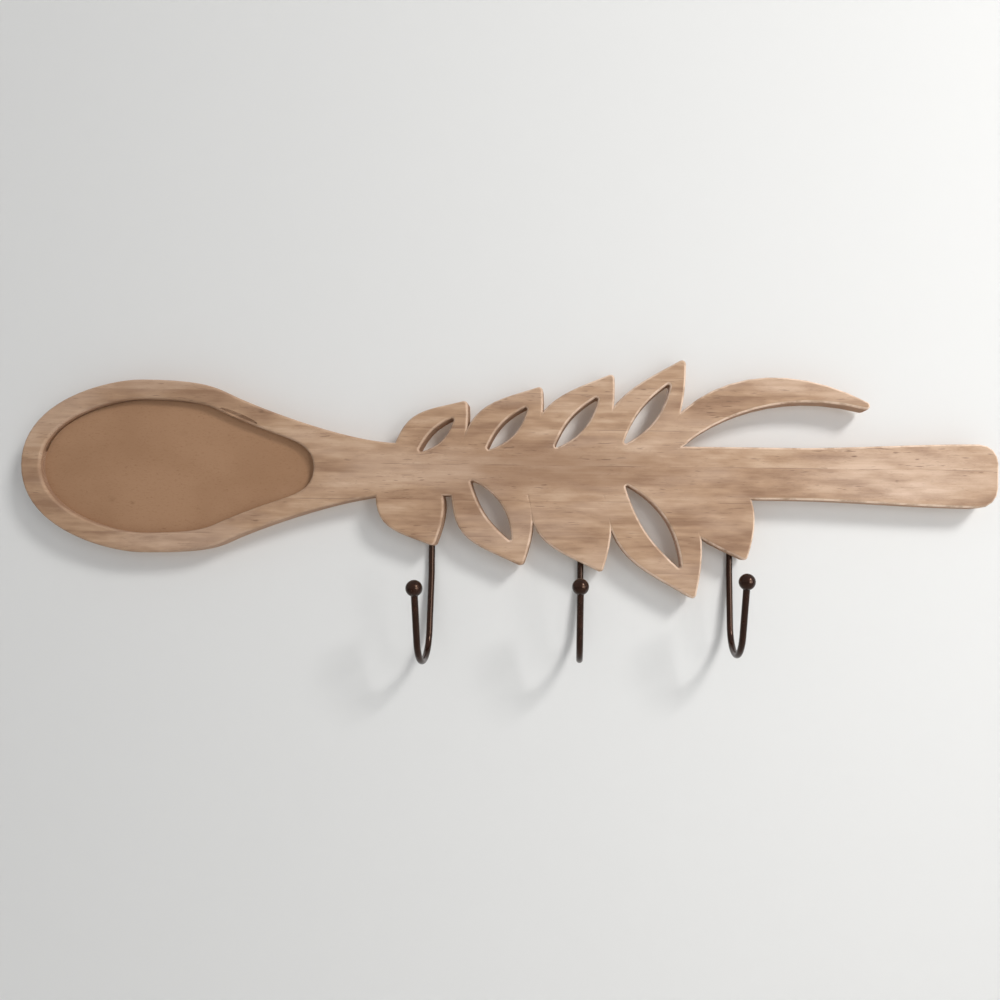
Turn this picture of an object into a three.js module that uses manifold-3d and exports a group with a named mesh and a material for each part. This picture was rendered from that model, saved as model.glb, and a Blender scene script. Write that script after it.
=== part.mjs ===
// Wooden wall hook rack: a long spoon sawn from board, with a sprig of pierced leaves growing out of its
// handle, a thin panel let into the bowl from behind, and three wire hooks with ball ends screwed to its
// back. Millimetres. +X runs from the bowl to the end of the handle, +Y points into the wall and +Z is up.
// The origin is on the back face of the board, on the axis of the spoon, halfway along it.
import * as THREE from 'three';
import * as BufferGeometryUtils from 'three/addons/utils/BufferGeometryUtils.js';
import ManifoldModule from 'manifold-3d';

// Spoon: stations are measured along the axis from the tip of the bowl, and half widths from the axis
const spoonLength = 610;
const bowlWidest = 75;
const bowlHalfWidth = 54;
const shoulder = 133;
const shoulderFall = 10;
const shoulderSlope = 0.44;
const neck = 235;
const neckHalfWidth = 16.3;
const handleFlare = 3.6;
const handleFlareLength = 129;
const handleEndRadius = 12;

// Board and its sanded edges
const boardThickness = 12;
const frontEase = 1.8;
const backEase = 0.6;

// Recess in the bowl, open through the board and ending before the neck, and the panel glued to the ledge
// behind it
const rimWidth = 12.3;
const recessSetback = 52.5;
const recessNose = 18.5;
const recessDepth = 5;
const ledgeWidth = 5;
const panelThickness = 3;
const panelClearance = 0.3;

// Hooks, in a row that starts a little past the neck and rises towards the end of the handle. The drop is
// measured from the axis of the spoon to the first hook's bend, and each hook has its lift above the first.
const firstHookSetback = 19.5;
const hookSpacing = 95.4;
const hookLifts = [0, 2, 6];
const hookDrop = 118;
const frontLegRise = 45.5;
const wireDiameter = 4;
const wireStandOff = 0.3;
const shankLean = 8;
const shankLeanRadius = 30;
const bendRadius = 19;
const frontLegFlare = 16;
const ballDiameter = 10;
const ballClearance = 0.3;

// Flattened end of each hook wire and the two screws through it, with the wood left below the lower one and
// ahead of their points
const spadeWidth = 9;
const spadeThickness = 1.6;
const spadeTaper = 10;
const screwSpacing = 14;
const screwEdge = 3.8;
const screwCover = 3.8;
const screwDiameter = 3;
const screwHeadDiameter = 6.4;
const screwHeadHeight = 2;
const screwClearance = 0.3;

// Sprig below the handle: the leaves step along at half the hook spacing, so that every second one backs a
// hook
const leafTipRadius = 2.5;
const windowEndRadius = 1;
const lowerLeafLead = 25;
const lowerLean = -57;
const lowerLeaves = [
  { length: 50, width: 42, bow: 4 },
  { length: 64, width: 48, bow: 6, window: { from: 0.1, to: 0.76, width: 12 } },
  { length: 68, width: 48, bow: 6 },
  { length: 87, width: 52, bow: 7, window: { from: 0.1, to: 0.78, width: 14.5 } },
  { length: 58, width: 42, bow: 5 },
];

// Sprig above the handle, from the neck on: each leaf stands a little steeper than the one before
const upperLeafSetback = 2;
const upperLeafPitch = 42;
const upperLean = 44;
const upperLeanStep = 3;
const upperLeaves = [
  { length: 54, width: 38, bow: -5, window: { from: 0.28, to: 0.78, width: 8.5 } },
  { length: 64, width: 41, bow: -5, window: { from: 0.26, to: 0.78, width: 10 } },
  { length: 72, width: 42, bow: -5, window: { from: 0.25, to: 0.78, width: 10.5 } },
  { length: 81, width: 40, bow: -5, window: { from: 0.26, to: 0.8, width: 11 } },
];
const leafRootOffset = 3;

// Long leaf that arches over the handle towards its end, by distances past the neck and above the axis
const longLeafWidth = 20;
const longLeafRoot = [164, 10];
const longLeafRise = [186, 46];
const longLeafCrest = [235, 64];
const longLeafTip = [292, 43];

// Sawtooth hangers nailed to the back, one before the first hook and one past the last, with the wood left
// above them and ahead of the points of their nails
const hangerToHook = 11;
const hangerEdge = 3.3;
const hangerLength = 44;
const hangerDepth = 9;
const hangerSheet = 0.8;
const hangerRise = 1.2;
const hangerFoot = 8;
const hangerRamp = 3;
const toothPitch = 2.2;
const toothDepth = 1.7;
const nailCover = 4.5;
const nailDiameter = 1.5;
const nailHeadDiameter = 3.6;
const nailHeadHeight = 0.8;
const nailClearance = 0.3;

// Fullness of the curves, as shares of the spans that they cross
const tipFullness = 0.77;
const crownLead = 0.25;
const crownRun = 0.73;
const shoulderRun = 0.2;
const neckRun = 0.3;
const handleRun = 1 / 3;
const noseRun = 0.6;
const noseFullness = 0.62;
const leafWidest = 0.42;
const leafRootWidth = 0.45;
const windowFullness = 0.9;
const headCrown = 0.4;

// Fineness of the curves, and the steps down the rounded top of a spade and down its taper, as shares of
// their length
const spoonStep = 5;
const fewestSteps = 3;
const noseSteps = 7;
const leafSteps = 13;
const windowSteps = 12;
const tipSteps = 4;
const easeSteps = 3;
const wireSides = 12;
const turnSides = 14;
const ballSteps = 9;
const bendStep = 11;
const spadeTopSteps = [0.06, 0.25, 0.6, 1];
const taperSteps = [0, 0.35, 0.7, 1];

// Limits of the outlines and cutters: the turn past which a corner grows an arc, the sharpest mitre, what
// counts as nothing, what counts as one point, and how far a cutter reaches past what it cuts
const sharpTurn = 0.4;
const mitreLimit = 0.4;
const hair = 1e-6;
const samePoint = 1e-4;
const cutBeyond = 1;

const wasm = await ManifoldModule();
wasm.setup();

const finishes = {
  boardWood: new THREE.MeshStandardMaterial({ color: 0xb2917a, roughness: 0.78, metalness: 0 }),
  bowlPanel: new THREE.MeshStandardMaterial({ color: 0x997558, roughness: 0.9, metalness: 0 }),
  hookBlack: new THREE.MeshStandardMaterial({ color: 0x241a17, roughness: 0.42, metalness: 0.6 }),
  zinc: new THREE.MeshStandardMaterial({ color: 0xb9bcc0, roughness: 0.35, metalness: 0.9 }),
};

const rad = THREE.MathUtils.degToRad;
const vec = (x, z) => new THREE.Vector2(x, z);
const alongSpoon = (station) => station - spoonLength / 2;
const pastNeck = (distance) => alongSpoon(neck + distance);

// Sizes that follow from the ones above
const shoulderHalfWidth = bowlHalfWidth - shoulderFall;
const handleEndHalfWidth = neckHalfWidth + handleFlare;
const firstHookX = pastNeck(firstHookSetback);
const lowerScrewZ = screwEdge - neckHalfWidth;
const upperScrewZ = lowerScrewZ + screwSpacing;
const spadeTop = upperScrewZ + spadeWidth / 2;
const screwLength = boardThickness - screwCover - screwClearance + spadeThickness;
const hangerHeight = neckHalfWidth - hangerEdge - hangerDepth;
const hookToHangerMiddle = spadeWidth / 2 + hangerToHook + hangerLength / 2;
const nailLength = boardThickness - nailCover - nailClearance + hangerSheet;

// Solids and meshes

function solidOf(geometry) {
  const bare = geometry.clone();
  bare.deleteAttribute('normal');
  bare.deleteAttribute('uv');
  const merged = BufferGeometryUtils.mergeVertices(bare, samePoint);
  return new wasm.Manifold(new wasm.Mesh({
    numProp: 3,
    vertProperties: new Float32Array(merged.attributes.position.array),
    triVerts: new Uint32Array(merged.index.array),
  }));
}

function geometryOf(solid) {
  const { vertProperties, triVerts } = solid.getMesh();
  const geometry = new THREE.BufferGeometry();
  geometry.setAttribute('position', new THREE.BufferAttribute(vertProperties, 3));
  geometry.setIndex(new THREE.BufferAttribute(triVerts, 1));
  geometry.computeVertexNormals();
  return geometry;
}

// A closed skin over a stack of rings with as many points each, its first and last ring closed by the cap
// triangles.
function skin(rings, cap) {
  const count = rings[0].length;
  const triangles = [];
  for (let level = 0; level < rings.length - 1; level += 1) {
    for (let i = 0; i < count; i += 1) {
      const near = level * count + i;
      const next = level * count + ((i + 1) % count);
      triangles.push(near, near + count, next, next, near + count, next + count);
    }
  }
  const last = (rings.length - 1) * count;
  for (const [a, b, c] of cap) {
    triangles.push(a, b, c, last + a, last + c, last + b);
  }
  const positions = rings.flat().flatMap((p) => p.toArray());
  const geometry = new THREE.BufferGeometry();
  geometry.setAttribute('position', new THREE.Float32BufferAttribute(positions, 3));
  geometry.setIndex(triangles);
  geometry.computeVertexNormals();
  return geometry;
}

// Outlines: points in the X Z plane, anticlockwise as seen from the front

function edgeNormal(from, to) {
  const edge = to.clone().sub(from).normalize();
  return vec(edge.y, -edge.x);
}

// The corner of an outline at one of its points, with the outward normals of the two edges that meet there.
function cornerAt(outline, i) {
  const point = outline[i];
  const before = edgeNormal(outline.at(i - 1), point);
  const after = edgeNormal(point, outline[(i + 1) % outline.length]);
  const middle = before.clone().add(after).normalize();
  const reach = 1 / Math.max(middle.dot(after), mitreLimit);
  const moved = (distance) => point.clone().addScaledVector(middle, distance * reach);
  return { point, before, after, moved };
}

// The outline grown by a distance, with an arc where a corner is sharp.
function growOutline(outline, distance) {
  return outline.flatMap((_, i) => {
    const { point, before, after, moved } = cornerAt(outline, i);
    const turn = Math.atan2(before.cross(after), before.dot(after));
    if (turn <= sharpTurn) {
      return [moved(distance)];
    }
    return Array.from({ length: tipSteps + 1 }, (_step, k) => {
      const angle = before.angle() + (turn * k) / tipSteps;
      return vec(point.x + distance * Math.cos(angle), point.y + distance * Math.sin(angle));
    });
  });
}

// The outline moved outwards, or inwards by a distance below 0, with each point kept in its place in the
// ring.
function moveOutline(outline, distance) {
  return outline.map((_, i) => cornerAt(outline, i).moved(distance));
}

// A slab with the outline at each level: levels are [y, growth] pairs from the front to the back.
function slab(outline, levels) {
  const rings = levels.map(([y, growth]) => (
    moveOutline(outline, growth).map((p) => new THREE.Vector3(p.x, y, p.y))
  ));
  return skin(rings, THREE.ShapeUtils.triangulateShape(outline, []));
}

// Levels of a quarter round at the front and a chamfer at the back. A side of -1 suits a board and 1 its
// cutters.
function easedLevels(side) {
  const front = Array.from({ length: easeSteps + 1 }, (_, i) => {
    const angle = (Math.PI / 2) * (i / easeSteps);
    return [frontEase * (1 - Math.cos(angle)) - boardThickness, side * frontEase * (1 - Math.sin(angle))];
  });
  return [...front, [-backEase, 0], [0, side * backEase]];
}

const easedBoard = (outline) => solidOf(slab(outline, easedLevels(-1)));

function easedCutter(outline) {
  const levels = easedLevels(1);
  const [frontY, frontGrowth] = levels[0];
  return solidOf(slab(outline, [[frontY - cutBeyond, frontGrowth], ...levels, [cutBeyond, backEase]]));
}

const mirrored = (side) => side.map((p) => vec(p.x, -p.y));

// Both sides of an outline that is symmetrical about the axis, from the points of its upper side.
const closedOutline = (side) => [...mirrored(side), ...side.slice(1, -1).reverse()];

function trace(curves) {
  const points = [curves[0].getPoint(0)];
  for (const curve of curves) {
    const bent = Math.max(fewestSteps, Math.round(curve.getLength() / spoonStep));
    const steps = curve instanceof THREE.LineCurve ? 1 : bent;
    points.push(...curve.getSpacedPoints(steps).slice(1));
  }
  return points;
}

// Spoon

// Upper side of the bowl from its tip over the crown and the shoulder to the neck.
function bowlCurves() {
  const tip = vec(alongSpoon(0), 0);
  const crown = vec(alongSpoon(bowlWidest), bowlHalfWidth);
  const bend = vec(alongSpoon(shoulder), shoulderHalfWidth);
  const narrow = vec(alongSpoon(neck), neckHalfWidth);
  const fall = vec(1, -shoulderSlope).normalize();
  const crownSpan = bend.x - crown.x;
  const neckSpan = narrow.x - bend.x;
  const intoBend = bend.clone().addScaledVector(fall, -shoulderRun * crownSpan);
  const outOfBend = bend.clone().addScaledVector(fall, shoulderRun * neckSpan);
  return [
    new THREE.CubicBezierCurve(
      tip, vec(tip.x, tipFullness * crown.y), vec(crown.x - crownLead * bowlWidest, crown.y), crown,
    ),
    new THREE.CubicBezierCurve(crown, vec(crown.x + crownRun * crownSpan, crown.y), intoBend, bend),
    new THREE.CubicBezierCurve(bend, outOfBend, vec(narrow.x - neckRun * neckSpan, narrow.y), narrow),
  ];
}

// Upper side of the handle from the neck to the middle of its rounded end.
function handleCurves() {
  const narrow = vec(alongSpoon(neck), neckHalfWidth);
  const flare = vec(alongSpoon(spoonLength - handleFlareLength), neckHalfWidth);
  const end = alongSpoon(spoonLength);
  const corner = vec(end - handleEndRadius, handleEndHalfWidth);
  const flareRun = handleRun * (corner.x - flare.x);
  const cornerCentre = vec(corner.x, corner.y - handleEndRadius);
  return [
    new THREE.LineCurve(narrow, flare),
    new THREE.CubicBezierCurve(
      flare, vec(flare.x + flareRun, flare.y), vec(corner.x - flareRun, corner.y), corner,
    ),
    new THREE.EllipseCurve(
      cornerCentre.x, cornerCentre.y, handleEndRadius, handleEndRadius, Math.PI / 2, 0, true,
    ),
    new THREE.LineCurve(vec(end, cornerCentre.y), vec(end, 0)),
  ];
}

const spoonOutline = closedOutline(trace([...bowlCurves(), ...handleCurves()]));

// The recess keeps the rim's width to the bowl's side and closes in a round nose before the neck.
function recessOutlineOf() {
  const side = trace(bowlCurves());
  const inner = moveOutline(closedOutline(side), -rimWidth).slice(0, side.length);
  const upper = mirrored(inner);
  const noseTip = vec(pastNeck(-recessSetback), 0);
  const kept = upper.filter((p) => p.x < noseTip.x - recessNose);
  const start = kept.at(-1);
  const fall = start.clone().sub(kept.at(-2)).normalize();
  const outOfSide = start.clone().addScaledVector(fall, noseRun * recessNose);
  const nose = new THREE.CubicBezierCurve(start, outOfSide, vec(noseTip.x, noseFullness * start.y), noseTip);
  return closedOutline([...kept, ...nose.getPoints(noseSteps).slice(1)]);
}

const recessOutline = recessOutlineOf();

// Leaves

// A blade along a midline: its sides swell to half the width, and its ends are rounded by the end radius.
function bladeOutline(midline, from, to, width, endRadius, swell, steps) {
  const right = [];
  const left = [];
  for (let i = 0; i <= steps; i += 1) {
    const share = i / steps;
    const at = from + (to - from) * share;
    const along = midline.getTangent(at);
    const across = vec(-along.y, along.x).multiplyScalar((width / 2 - endRadius) * swell(share));
    const centre = midline.getPoint(at);
    right.push(centre.clone().sub(across));
    if (across.length() > hair) {
      left.push(centre.clone().add(across));
    }
  }
  return growOutline([...right, ...left.reverse()], endRadius);
}

// A leaf is widest two fifths of the way from its root, which is nearly half as wide, and ends in a point.
function leafSwell(share) {
  if (share < leafWidest) {
    return leafRootWidth + (1 - leafRootWidth) * Math.sin((Math.PI / 2) * (share / leafWidest));
  }
  return share < 1 ? Math.cos((Math.PI / 2) * ((share - leafWidest) / (1 - leafWidest))) : 0;
}

const windowSwell = (share) => (share > 0 && share < 1 ? Math.sin(Math.PI * share) ** windowFullness : 0);

function leafMidline(root, lean, length, bow) {
  const along = vec(Math.cos(rad(lean)), Math.sin(rad(lean)));
  const across = vec(-along.y, along.x);
  const control = root.clone().addScaledVector(along, length / 2).addScaledVector(across, bow);
  return new THREE.QuadraticBezierCurve(root, control, root.clone().addScaledVector(along, length));
}

const longLeafPoint = ([distance, height]) => vec(pastNeck(distance), height);

const leaves = [
  ...lowerLeaves.map((leaf, i) => ({
    ...leaf,
    midline: leafMidline(
      vec(firstHookX - lowerLeafLead + (i * hookSpacing) / 2, -leafRootOffset),
      lowerLean,
      leaf.length,
      leaf.bow,
    ),
  })),
  ...upperLeaves.map((leaf, i) => ({
    ...leaf,
    midline: leafMidline(
      vec(pastNeck(upperLeafSetback + i * upperLeafPitch), leafRootOffset),
      upperLean + i * upperLeanStep,
      leaf.length,
      leaf.bow,
    ),
  })),
  {
    width: longLeafWidth,
    midline: new THREE.CubicBezierCurve(
      ...[longLeafRoot, longLeafRise, longLeafCrest, longLeafTip].map(longLeafPoint),
    ),
  },
];

function leafBlank({ midline, width }) {
  return easedBoard(bladeOutline(midline, 0, 1, width, leafTipRadius, leafSwell, leafSteps));
}

function leafWindow({ midline, window }) {
  return easedCutter(
    bladeOutline(midline, window.from, window.to, window.width, windowEndRadius, windowSwell, windowSteps),
  );
}

// Fasteners and their holes

// A hole or a pin across the board, from one depth to another.
function crossPin(x, z, radius, fromY, toY) {
  const geometry = new THREE.CylinderGeometry(radius, radius, toY - fromY, turnSides);
  geometry.translate(x, (fromY + toY) / 2, z);
  return solidOf(geometry);
}

// A headed fastener driven in from the back: head and pointed shank turned from one profile about its axis.
function fastener(x, z, seatY, { length, diameter, headDiameter, headHeight }) {
  const radius = diameter / 2;
  const crown = headHeight * headCrown;
  const point = diameter;
  const profile = [
    vec(0, -length),
    vec(radius, point - length),
    vec(radius, 0),
    vec(headDiameter / 2, 0),
    vec(headDiameter / 2, headHeight - crown),
    vec(headDiameter / 2 - crown, headHeight),
    vec(0, headHeight),
  ];
  const geometry = new THREE.LatheGeometry(profile, turnSides);
  geometry.translate(x, seatY, z);
  return geometry;
}

const screwForm = {
  length: screwLength, diameter: screwDiameter, headDiameter: screwHeadDiameter, headHeight: screwHeadHeight,
};
const nailForm = {
  length: nailLength, diameter: nailDiameter, headDiameter: nailHeadDiameter, headHeight: nailHeadHeight,
};

const hooks = ['left', 'middle', 'right'].map((side, i) => (
  { side, x: firstHookX + i * hookSpacing, lift: hookLifts[i] }
));
const screws = hooks.flatMap(({ side, x, lift }) => [
  { name: `hook_screw_${side}_upper`, x, z: upperScrewZ + lift },
  { name: `hook_screw_${side}_lower`, x, z: lowerScrewZ + lift },
]);

const hangers = [
  { side: 'left', x: hooks[0].x - hookToHangerMiddle },
  { side: 'right', x: hooks.at(-1).x + hookToHangerMiddle },
];
const nailOffset = (hangerLength - hangerFoot) / 2;
const nailZ = hangerHeight + hangerDepth / 2;
const nails = hangers.flatMap(({ side, x }) => [
  { name: `hanger_nail_${side}_a`, x: x - nailOffset, z: nailZ },
  { name: `hanger_nail_${side}_b`, x: x + nailOffset, z: nailZ },
]);

// Board

function boardGeometry() {
  const rabbetOutline = growOutline(recessOutline, ledgeWidth);
  const rabbet = solidOf(slab(rabbetOutline, [[recessDepth - boardThickness, 0], [cutBeyond, 0]]));
  const blank = leaves.map(leafBlank).reduce((whole, leaf) => whole.add(leaf), easedBoard(spoonOutline));
  const cuts = [
    easedCutter(recessOutline),
    rabbet,
    ...leaves.filter((leaf) => leaf.window).map(leafWindow),
    ...screws.map(({ x, z }) => crossPin(
      x, z, screwDiameter / 2 + screwClearance, screwCover - boardThickness, cutBeyond,
    )),
    ...nails.map(({ x, z }) => crossPin(
      x, z, nailDiameter / 2 + nailClearance, nailCover - boardThickness, cutBeyond,
    )),
  ];
  return geometryOf(cuts.reduce((board, cut) => board.subtract(cut), blank));
}

function panelGeometry() {
  const front = recessDepth - boardThickness;
  const outline = growOutline(recessOutline, ledgeWidth - panelClearance);
  return slab(outline, [[front, 0], [front + panelThickness, 0]]);
}

// Hooks, all bent alike and made where the first one is, in the plane X = 0

// The shanks stay straight behind the board down past the tips of the leaves that back the hooks.
const leafTipZ = ({ midline }) => midline.getPoint(1).y - leafTipRadius;
const shankStraightEnd = Math.min(...hooks.map(({ lift }, i) => leafTipZ(leaves[2 * i]) - lift));

// Centre line of the wire from the top of its flattened end: each station has a place in the Y Z plane and a
// heading, which is 0 straight down and grows as the wire turns towards the front.
function hookPath() {
  const path = [];
  const shankY = wireStandOff + wireDiameter / 2;
  const place = new THREE.Vector2(shankY, spadeTop);
  let heading = 0;
  const station = () => path.push({ place: place.clone(), heading });
  const forward = () => vec(-Math.sin(heading), -Math.cos(heading));
  const inward = () => vec(-Math.cos(heading), Math.sin(heading));
  const straightTo = (z) => {
    place.addScaledVector(forward(), (z - place.y) / forward().y);
    station();
  };
  const turn = (radius, degrees) => {
    const steps = Math.max(1, Math.round(degrees / bendStep));
    const centre = place.clone().addScaledVector(inward(), radius);
    for (let i = 0; i < steps; i += 1) {
      heading += rad(degrees / steps);
      place.copy(centre).addScaledVector(inward(), -radius);
      station();
    }
  };
  station();
  straightTo(shankStraightEnd);
  turn(shankLeanRadius, shankLean);
  straightTo(bendRadius * (1 - Math.sin(rad(shankLean))) - hookDrop);
  turn(bendRadius, 180 - shankLean - frontLegFlare);
  straightTo(frontLegRise - hookDrop);
  return path;
}

// Section of the wire at a station: round, or pressed to a flat with round edges. Flatness runs from 0 to 1.
function wireSection({ place, heading }, flatness, flatHalfWidth) {
  const radius = wireDiameter / 2;
  const halfThickness = spadeThickness / 2;
  const inward = vec(-Math.cos(heading), Math.sin(heading));
  const flatCentre = radius + wireStandOff - halfThickness;
  return Array.from({ length: wireSides }, (_, i) => {
    const angle = (2 * Math.PI * i) / wireSides;
    const round = vec(Math.cos(angle), Math.sin(angle));
    const sideways = Math.abs(round.x) < hair ? 0 : Math.sign(round.x);
    const flatX = sideways * (flatHalfWidth - halfThickness);
    const wide = THREE.MathUtils.lerp(radius * round.x, flatX + halfThickness * round.x, flatness);
    const deep = THREE.MathUtils.lerp(radius * round.y, flatCentre + halfThickness * round.y, flatness);
    return new THREE.Vector3(wide, place.x + inward.x * deep, place.y + inward.y * deep);
  });
}

function hookGeometry() {
  const [top, ...rest] = hookPath();
  const halfWidth = spadeWidth / 2;
  const below = (distance) => ({ place: vec(top.place.x, spadeTop - distance), heading: 0 });
  const roundTop = spadeTopSteps.map((share) => {
    const distance = halfWidth * share;
    return wireSection(below(distance), 1, Math.sqrt(halfWidth ** 2 - (halfWidth - distance) ** 2));
  });
  const flatEnd = screwSpacing + spadeWidth;
  const taper = taperSteps.map((share) => (
    wireSection(below(flatEnd + spadeTaper * share), 1 - share, halfWidth)
  ));
  const rings = [...roundTop, ...taper, ...rest.map((station) => wireSection(station, 0, halfWidth))];
  const fan = Array.from({ length: wireSides - 2 }, (_, i) => [0, i + 1, i + 2]);
  const wire = solidOf(skin(rings.map((ring) => ring.reverse()), fan));
  const holes = [upperScrewZ, lowerScrewZ].map((z) => (
    crossPin(0, z, screwDiameter / 2 + screwClearance, -cutBeyond, spadeThickness + cutBeyond)
  ));
  return geometryOf(holes.reduce((hook, hole) => hook.subtract(hole), wire));
}

// A ball with a blind bore for the wire, whose end lies at the middle of the ball.
function ballGeometry() {
  const radius = ballDiameter / 2;
  const bore = wireDiameter / 2 + ballClearance;
  const startAngle = Math.asin(bore / radius);
  const arc = Array.from({ length: ballSteps + 1 }, (_, i) => {
    const angle = startAngle + (Math.PI - startAngle) * (i / ballSteps);
    return vec(i === ballSteps ? 0 : radius * Math.sin(angle), -radius * Math.cos(angle));
  });
  return new THREE.LatheGeometry([vec(0, ballClearance), vec(bore, ballClearance), ...arc], turnSides);
}

// Hangers

// A strip whose middle stands off the wood, with a row of teeth along its lower edge.
function hangerGeometry(x) {
  const half = hangerLength / 2;
  const rampStart = half - hangerFoot;
  const rampEnd = rampStart - hangerRamp;
  const woodSide = [
    [-half, 0], [-rampStart, 0], [-rampEnd, hangerRise], [rampEnd, hangerRise], [rampStart, 0], [half, 0],
  ];
  const wallSide = woodSide.map(([along, off]) => [along, off + hangerSheet]).reverse();
  const section = new THREE.Shape([...woodSide, ...wallSide].map(([along, off]) => vec(along, off)));
  const strip = new THREE.ExtrudeGeometry(section, { depth: hangerDepth, bevelEnabled: false });
  strip.translate(x, 0, hangerHeight);
  const teeth = 2 * Math.floor(rampEnd / toothPitch);
  const edge = (teeth * toothPitch) / 2;
  const notches = Array.from({ length: teeth }, (_, i) => {
    const right = edge - i * toothPitch;
    return [vec(x + right, hangerHeight), vec(x + right - toothPitch / 2, hangerHeight + toothDepth)];
  });
  const below = hangerHeight - cutBeyond;
  const lowerSide = [vec(x - edge, below), vec(x + edge, below)];
  const outline = [...lowerSide, ...notches.flat(), vec(x - edge, hangerHeight)];
  const toothCutter = solidOf(slab(outline, [[-cutBeyond, 0], [hangerRise + hangerSheet + cutBeyond, 0]]));
  const nailHoles = nails.filter((nail) => Math.abs(nail.x - x) < hangerLength).map((nail) => (
    crossPin(nail.x, nail.z, nailDiameter / 2 + nailClearance, -cutBeyond, hangerSheet + cutBeyond)
  ));
  const cuts = [toothCutter, ...nailHoles];
  return geometryOf(cuts.reduce((hanger, cut) => hanger.subtract(cut), solidOf(strip)));
}

// Assembly

const rack = new THREE.Group();

function addPiece(name, geometry, material) {
  const piece = new THREE.Mesh(geometry, material);
  piece.name = name;
  rack.add(piece);
  return piece;
}

addPiece('spoon_board', boardGeometry(), finishes.boardWood);
addPiece('bowl_panel', panelGeometry(), finishes.bowlPanel);

// Each ball is turned so that its bore looks down the leg of its hook.
const wireEnd = hookPath().at(-1);
const ballTurn = Math.atan2(-Math.cos(wireEnd.heading), -Math.sin(wireEnd.heading));
for (const { side, x, lift } of hooks) {
  const wire = addPiece(`hook_wire_${side}`, hookGeometry(), finishes.hookBlack);
  wire.position.set(x, 0, lift);
  const ball = addPiece(`hook_ball_${side}`, ballGeometry(), finishes.hookBlack);
  ball.position.set(x, wireEnd.place.x, wireEnd.place.y + lift);
  ball.rotation.x = ballTurn;
}
for (const { name, x, z } of screws) {
  addPiece(name, fastener(x, z, spadeThickness, screwForm), finishes.zinc);
}
for (const { side, x } of hangers) {
  addPiece(`hanger_${side}`, hangerGeometry(x), finishes.zinc);
}
for (const { name, x, z } of nails) {
  addPiece(name, fastener(x, z, hangerSheet, nailForm), finishes.zinc);
}

export default rack;
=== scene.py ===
"""Fine forms and finishes of a wooden wall hook rack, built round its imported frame.

The rack is a long spoon sawn from 12 mm board, with a sprig of pierced leaves growing out of its handle, a
thin panel let into its bowl and three bent wire hooks with balls on their ends. Everything is in metres with
+Z up: the back of the board is at Y = 0, its front is towards -Y and the bowl is at -X.
"""

import logging
import math
from collections.abc import Callable, Iterator
from contextlib import contextmanager
from dataclasses import dataclass
from enum import Enum
from typing import Any

import bmesh
import bpy
from bpy.types import Material, Node, NodeSocket, NodeTree, Object
from mathutils import Matrix, Vector


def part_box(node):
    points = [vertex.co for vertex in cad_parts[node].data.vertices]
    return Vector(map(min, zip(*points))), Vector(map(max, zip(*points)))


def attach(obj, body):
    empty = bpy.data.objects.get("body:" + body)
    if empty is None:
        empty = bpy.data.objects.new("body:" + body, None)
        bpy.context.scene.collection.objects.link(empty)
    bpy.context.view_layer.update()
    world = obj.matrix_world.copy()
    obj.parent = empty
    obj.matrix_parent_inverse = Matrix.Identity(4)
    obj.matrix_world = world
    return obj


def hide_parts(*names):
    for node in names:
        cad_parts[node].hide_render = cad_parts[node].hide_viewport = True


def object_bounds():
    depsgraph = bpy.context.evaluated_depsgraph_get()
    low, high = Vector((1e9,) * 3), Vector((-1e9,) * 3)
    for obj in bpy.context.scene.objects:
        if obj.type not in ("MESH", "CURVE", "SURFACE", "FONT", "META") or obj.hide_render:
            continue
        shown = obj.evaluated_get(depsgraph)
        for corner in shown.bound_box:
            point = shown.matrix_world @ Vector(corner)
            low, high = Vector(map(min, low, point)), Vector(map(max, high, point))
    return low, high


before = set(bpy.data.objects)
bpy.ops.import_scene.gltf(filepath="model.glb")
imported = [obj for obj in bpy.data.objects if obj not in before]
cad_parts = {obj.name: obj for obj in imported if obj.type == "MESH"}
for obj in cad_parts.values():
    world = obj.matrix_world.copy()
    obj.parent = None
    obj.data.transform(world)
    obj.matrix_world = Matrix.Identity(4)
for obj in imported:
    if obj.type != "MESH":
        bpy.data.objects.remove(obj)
cad_low, cad_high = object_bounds()

log = logging.getLogger("rack")

MM = 0.001
MERGE_WITHIN = 0.01 * MM
HAIR = 0.001 * MM
DOWNWARD = -0.9
BODY = "root"
Colour = tuple[float, float, float, float]
Value = NodeSocket | float | Vector | Colour
Ramp = tuple[float, ...]


class Side(Enum):
    """Where a hook or a hanger is along the rack."""

    LEFT = "left"
    MIDDLE = "middle"
    RIGHT = "right"


class Row(Enum):
    """Which of a hook's two screws is meant."""

    UPPER = "upper"
    LOWER = "lower"


class Slot(Enum):
    """The record's material slots."""

    BOARD = "board_wood"
    PANEL = "bowl_panel"
    BLACK = "hook_black"
    ZINC = "zinc"


class Solver(Enum):
    """How one solid is cut from or joined to another."""

    CUT = "DIFFERENCE"
    JOIN = "UNION"


class Part(Enum):
    """The parts of a mesh that can be selected, by where bmesh keeps them."""

    VERT = "verts"
    EDGE = "edges"
    FACE = "faces"


def srgb(red: int, green: int, blue: int) -> Colour:
    """A colour as a picture shows it, as the linear values that a shader takes.

    Args:
        red: Its red, of 255.
        green: Its green, of 255.
        blue: Its blue, of 255.

    Returns:
        The linear red, green and blue, and an alpha of 1.
    """
    shares = (step / 255 for step in (red, green, blue))
    linear = (share / 12.92 if share <= 0.04045 else ((share + 0.055) / 1.055) ** 2.4 for share in shares)
    return (*linear, 1.0)


def deselect_all() -> None:
    """Deselect every object."""
    bpy.ops.object.select_all(action="DESELECT")


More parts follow.
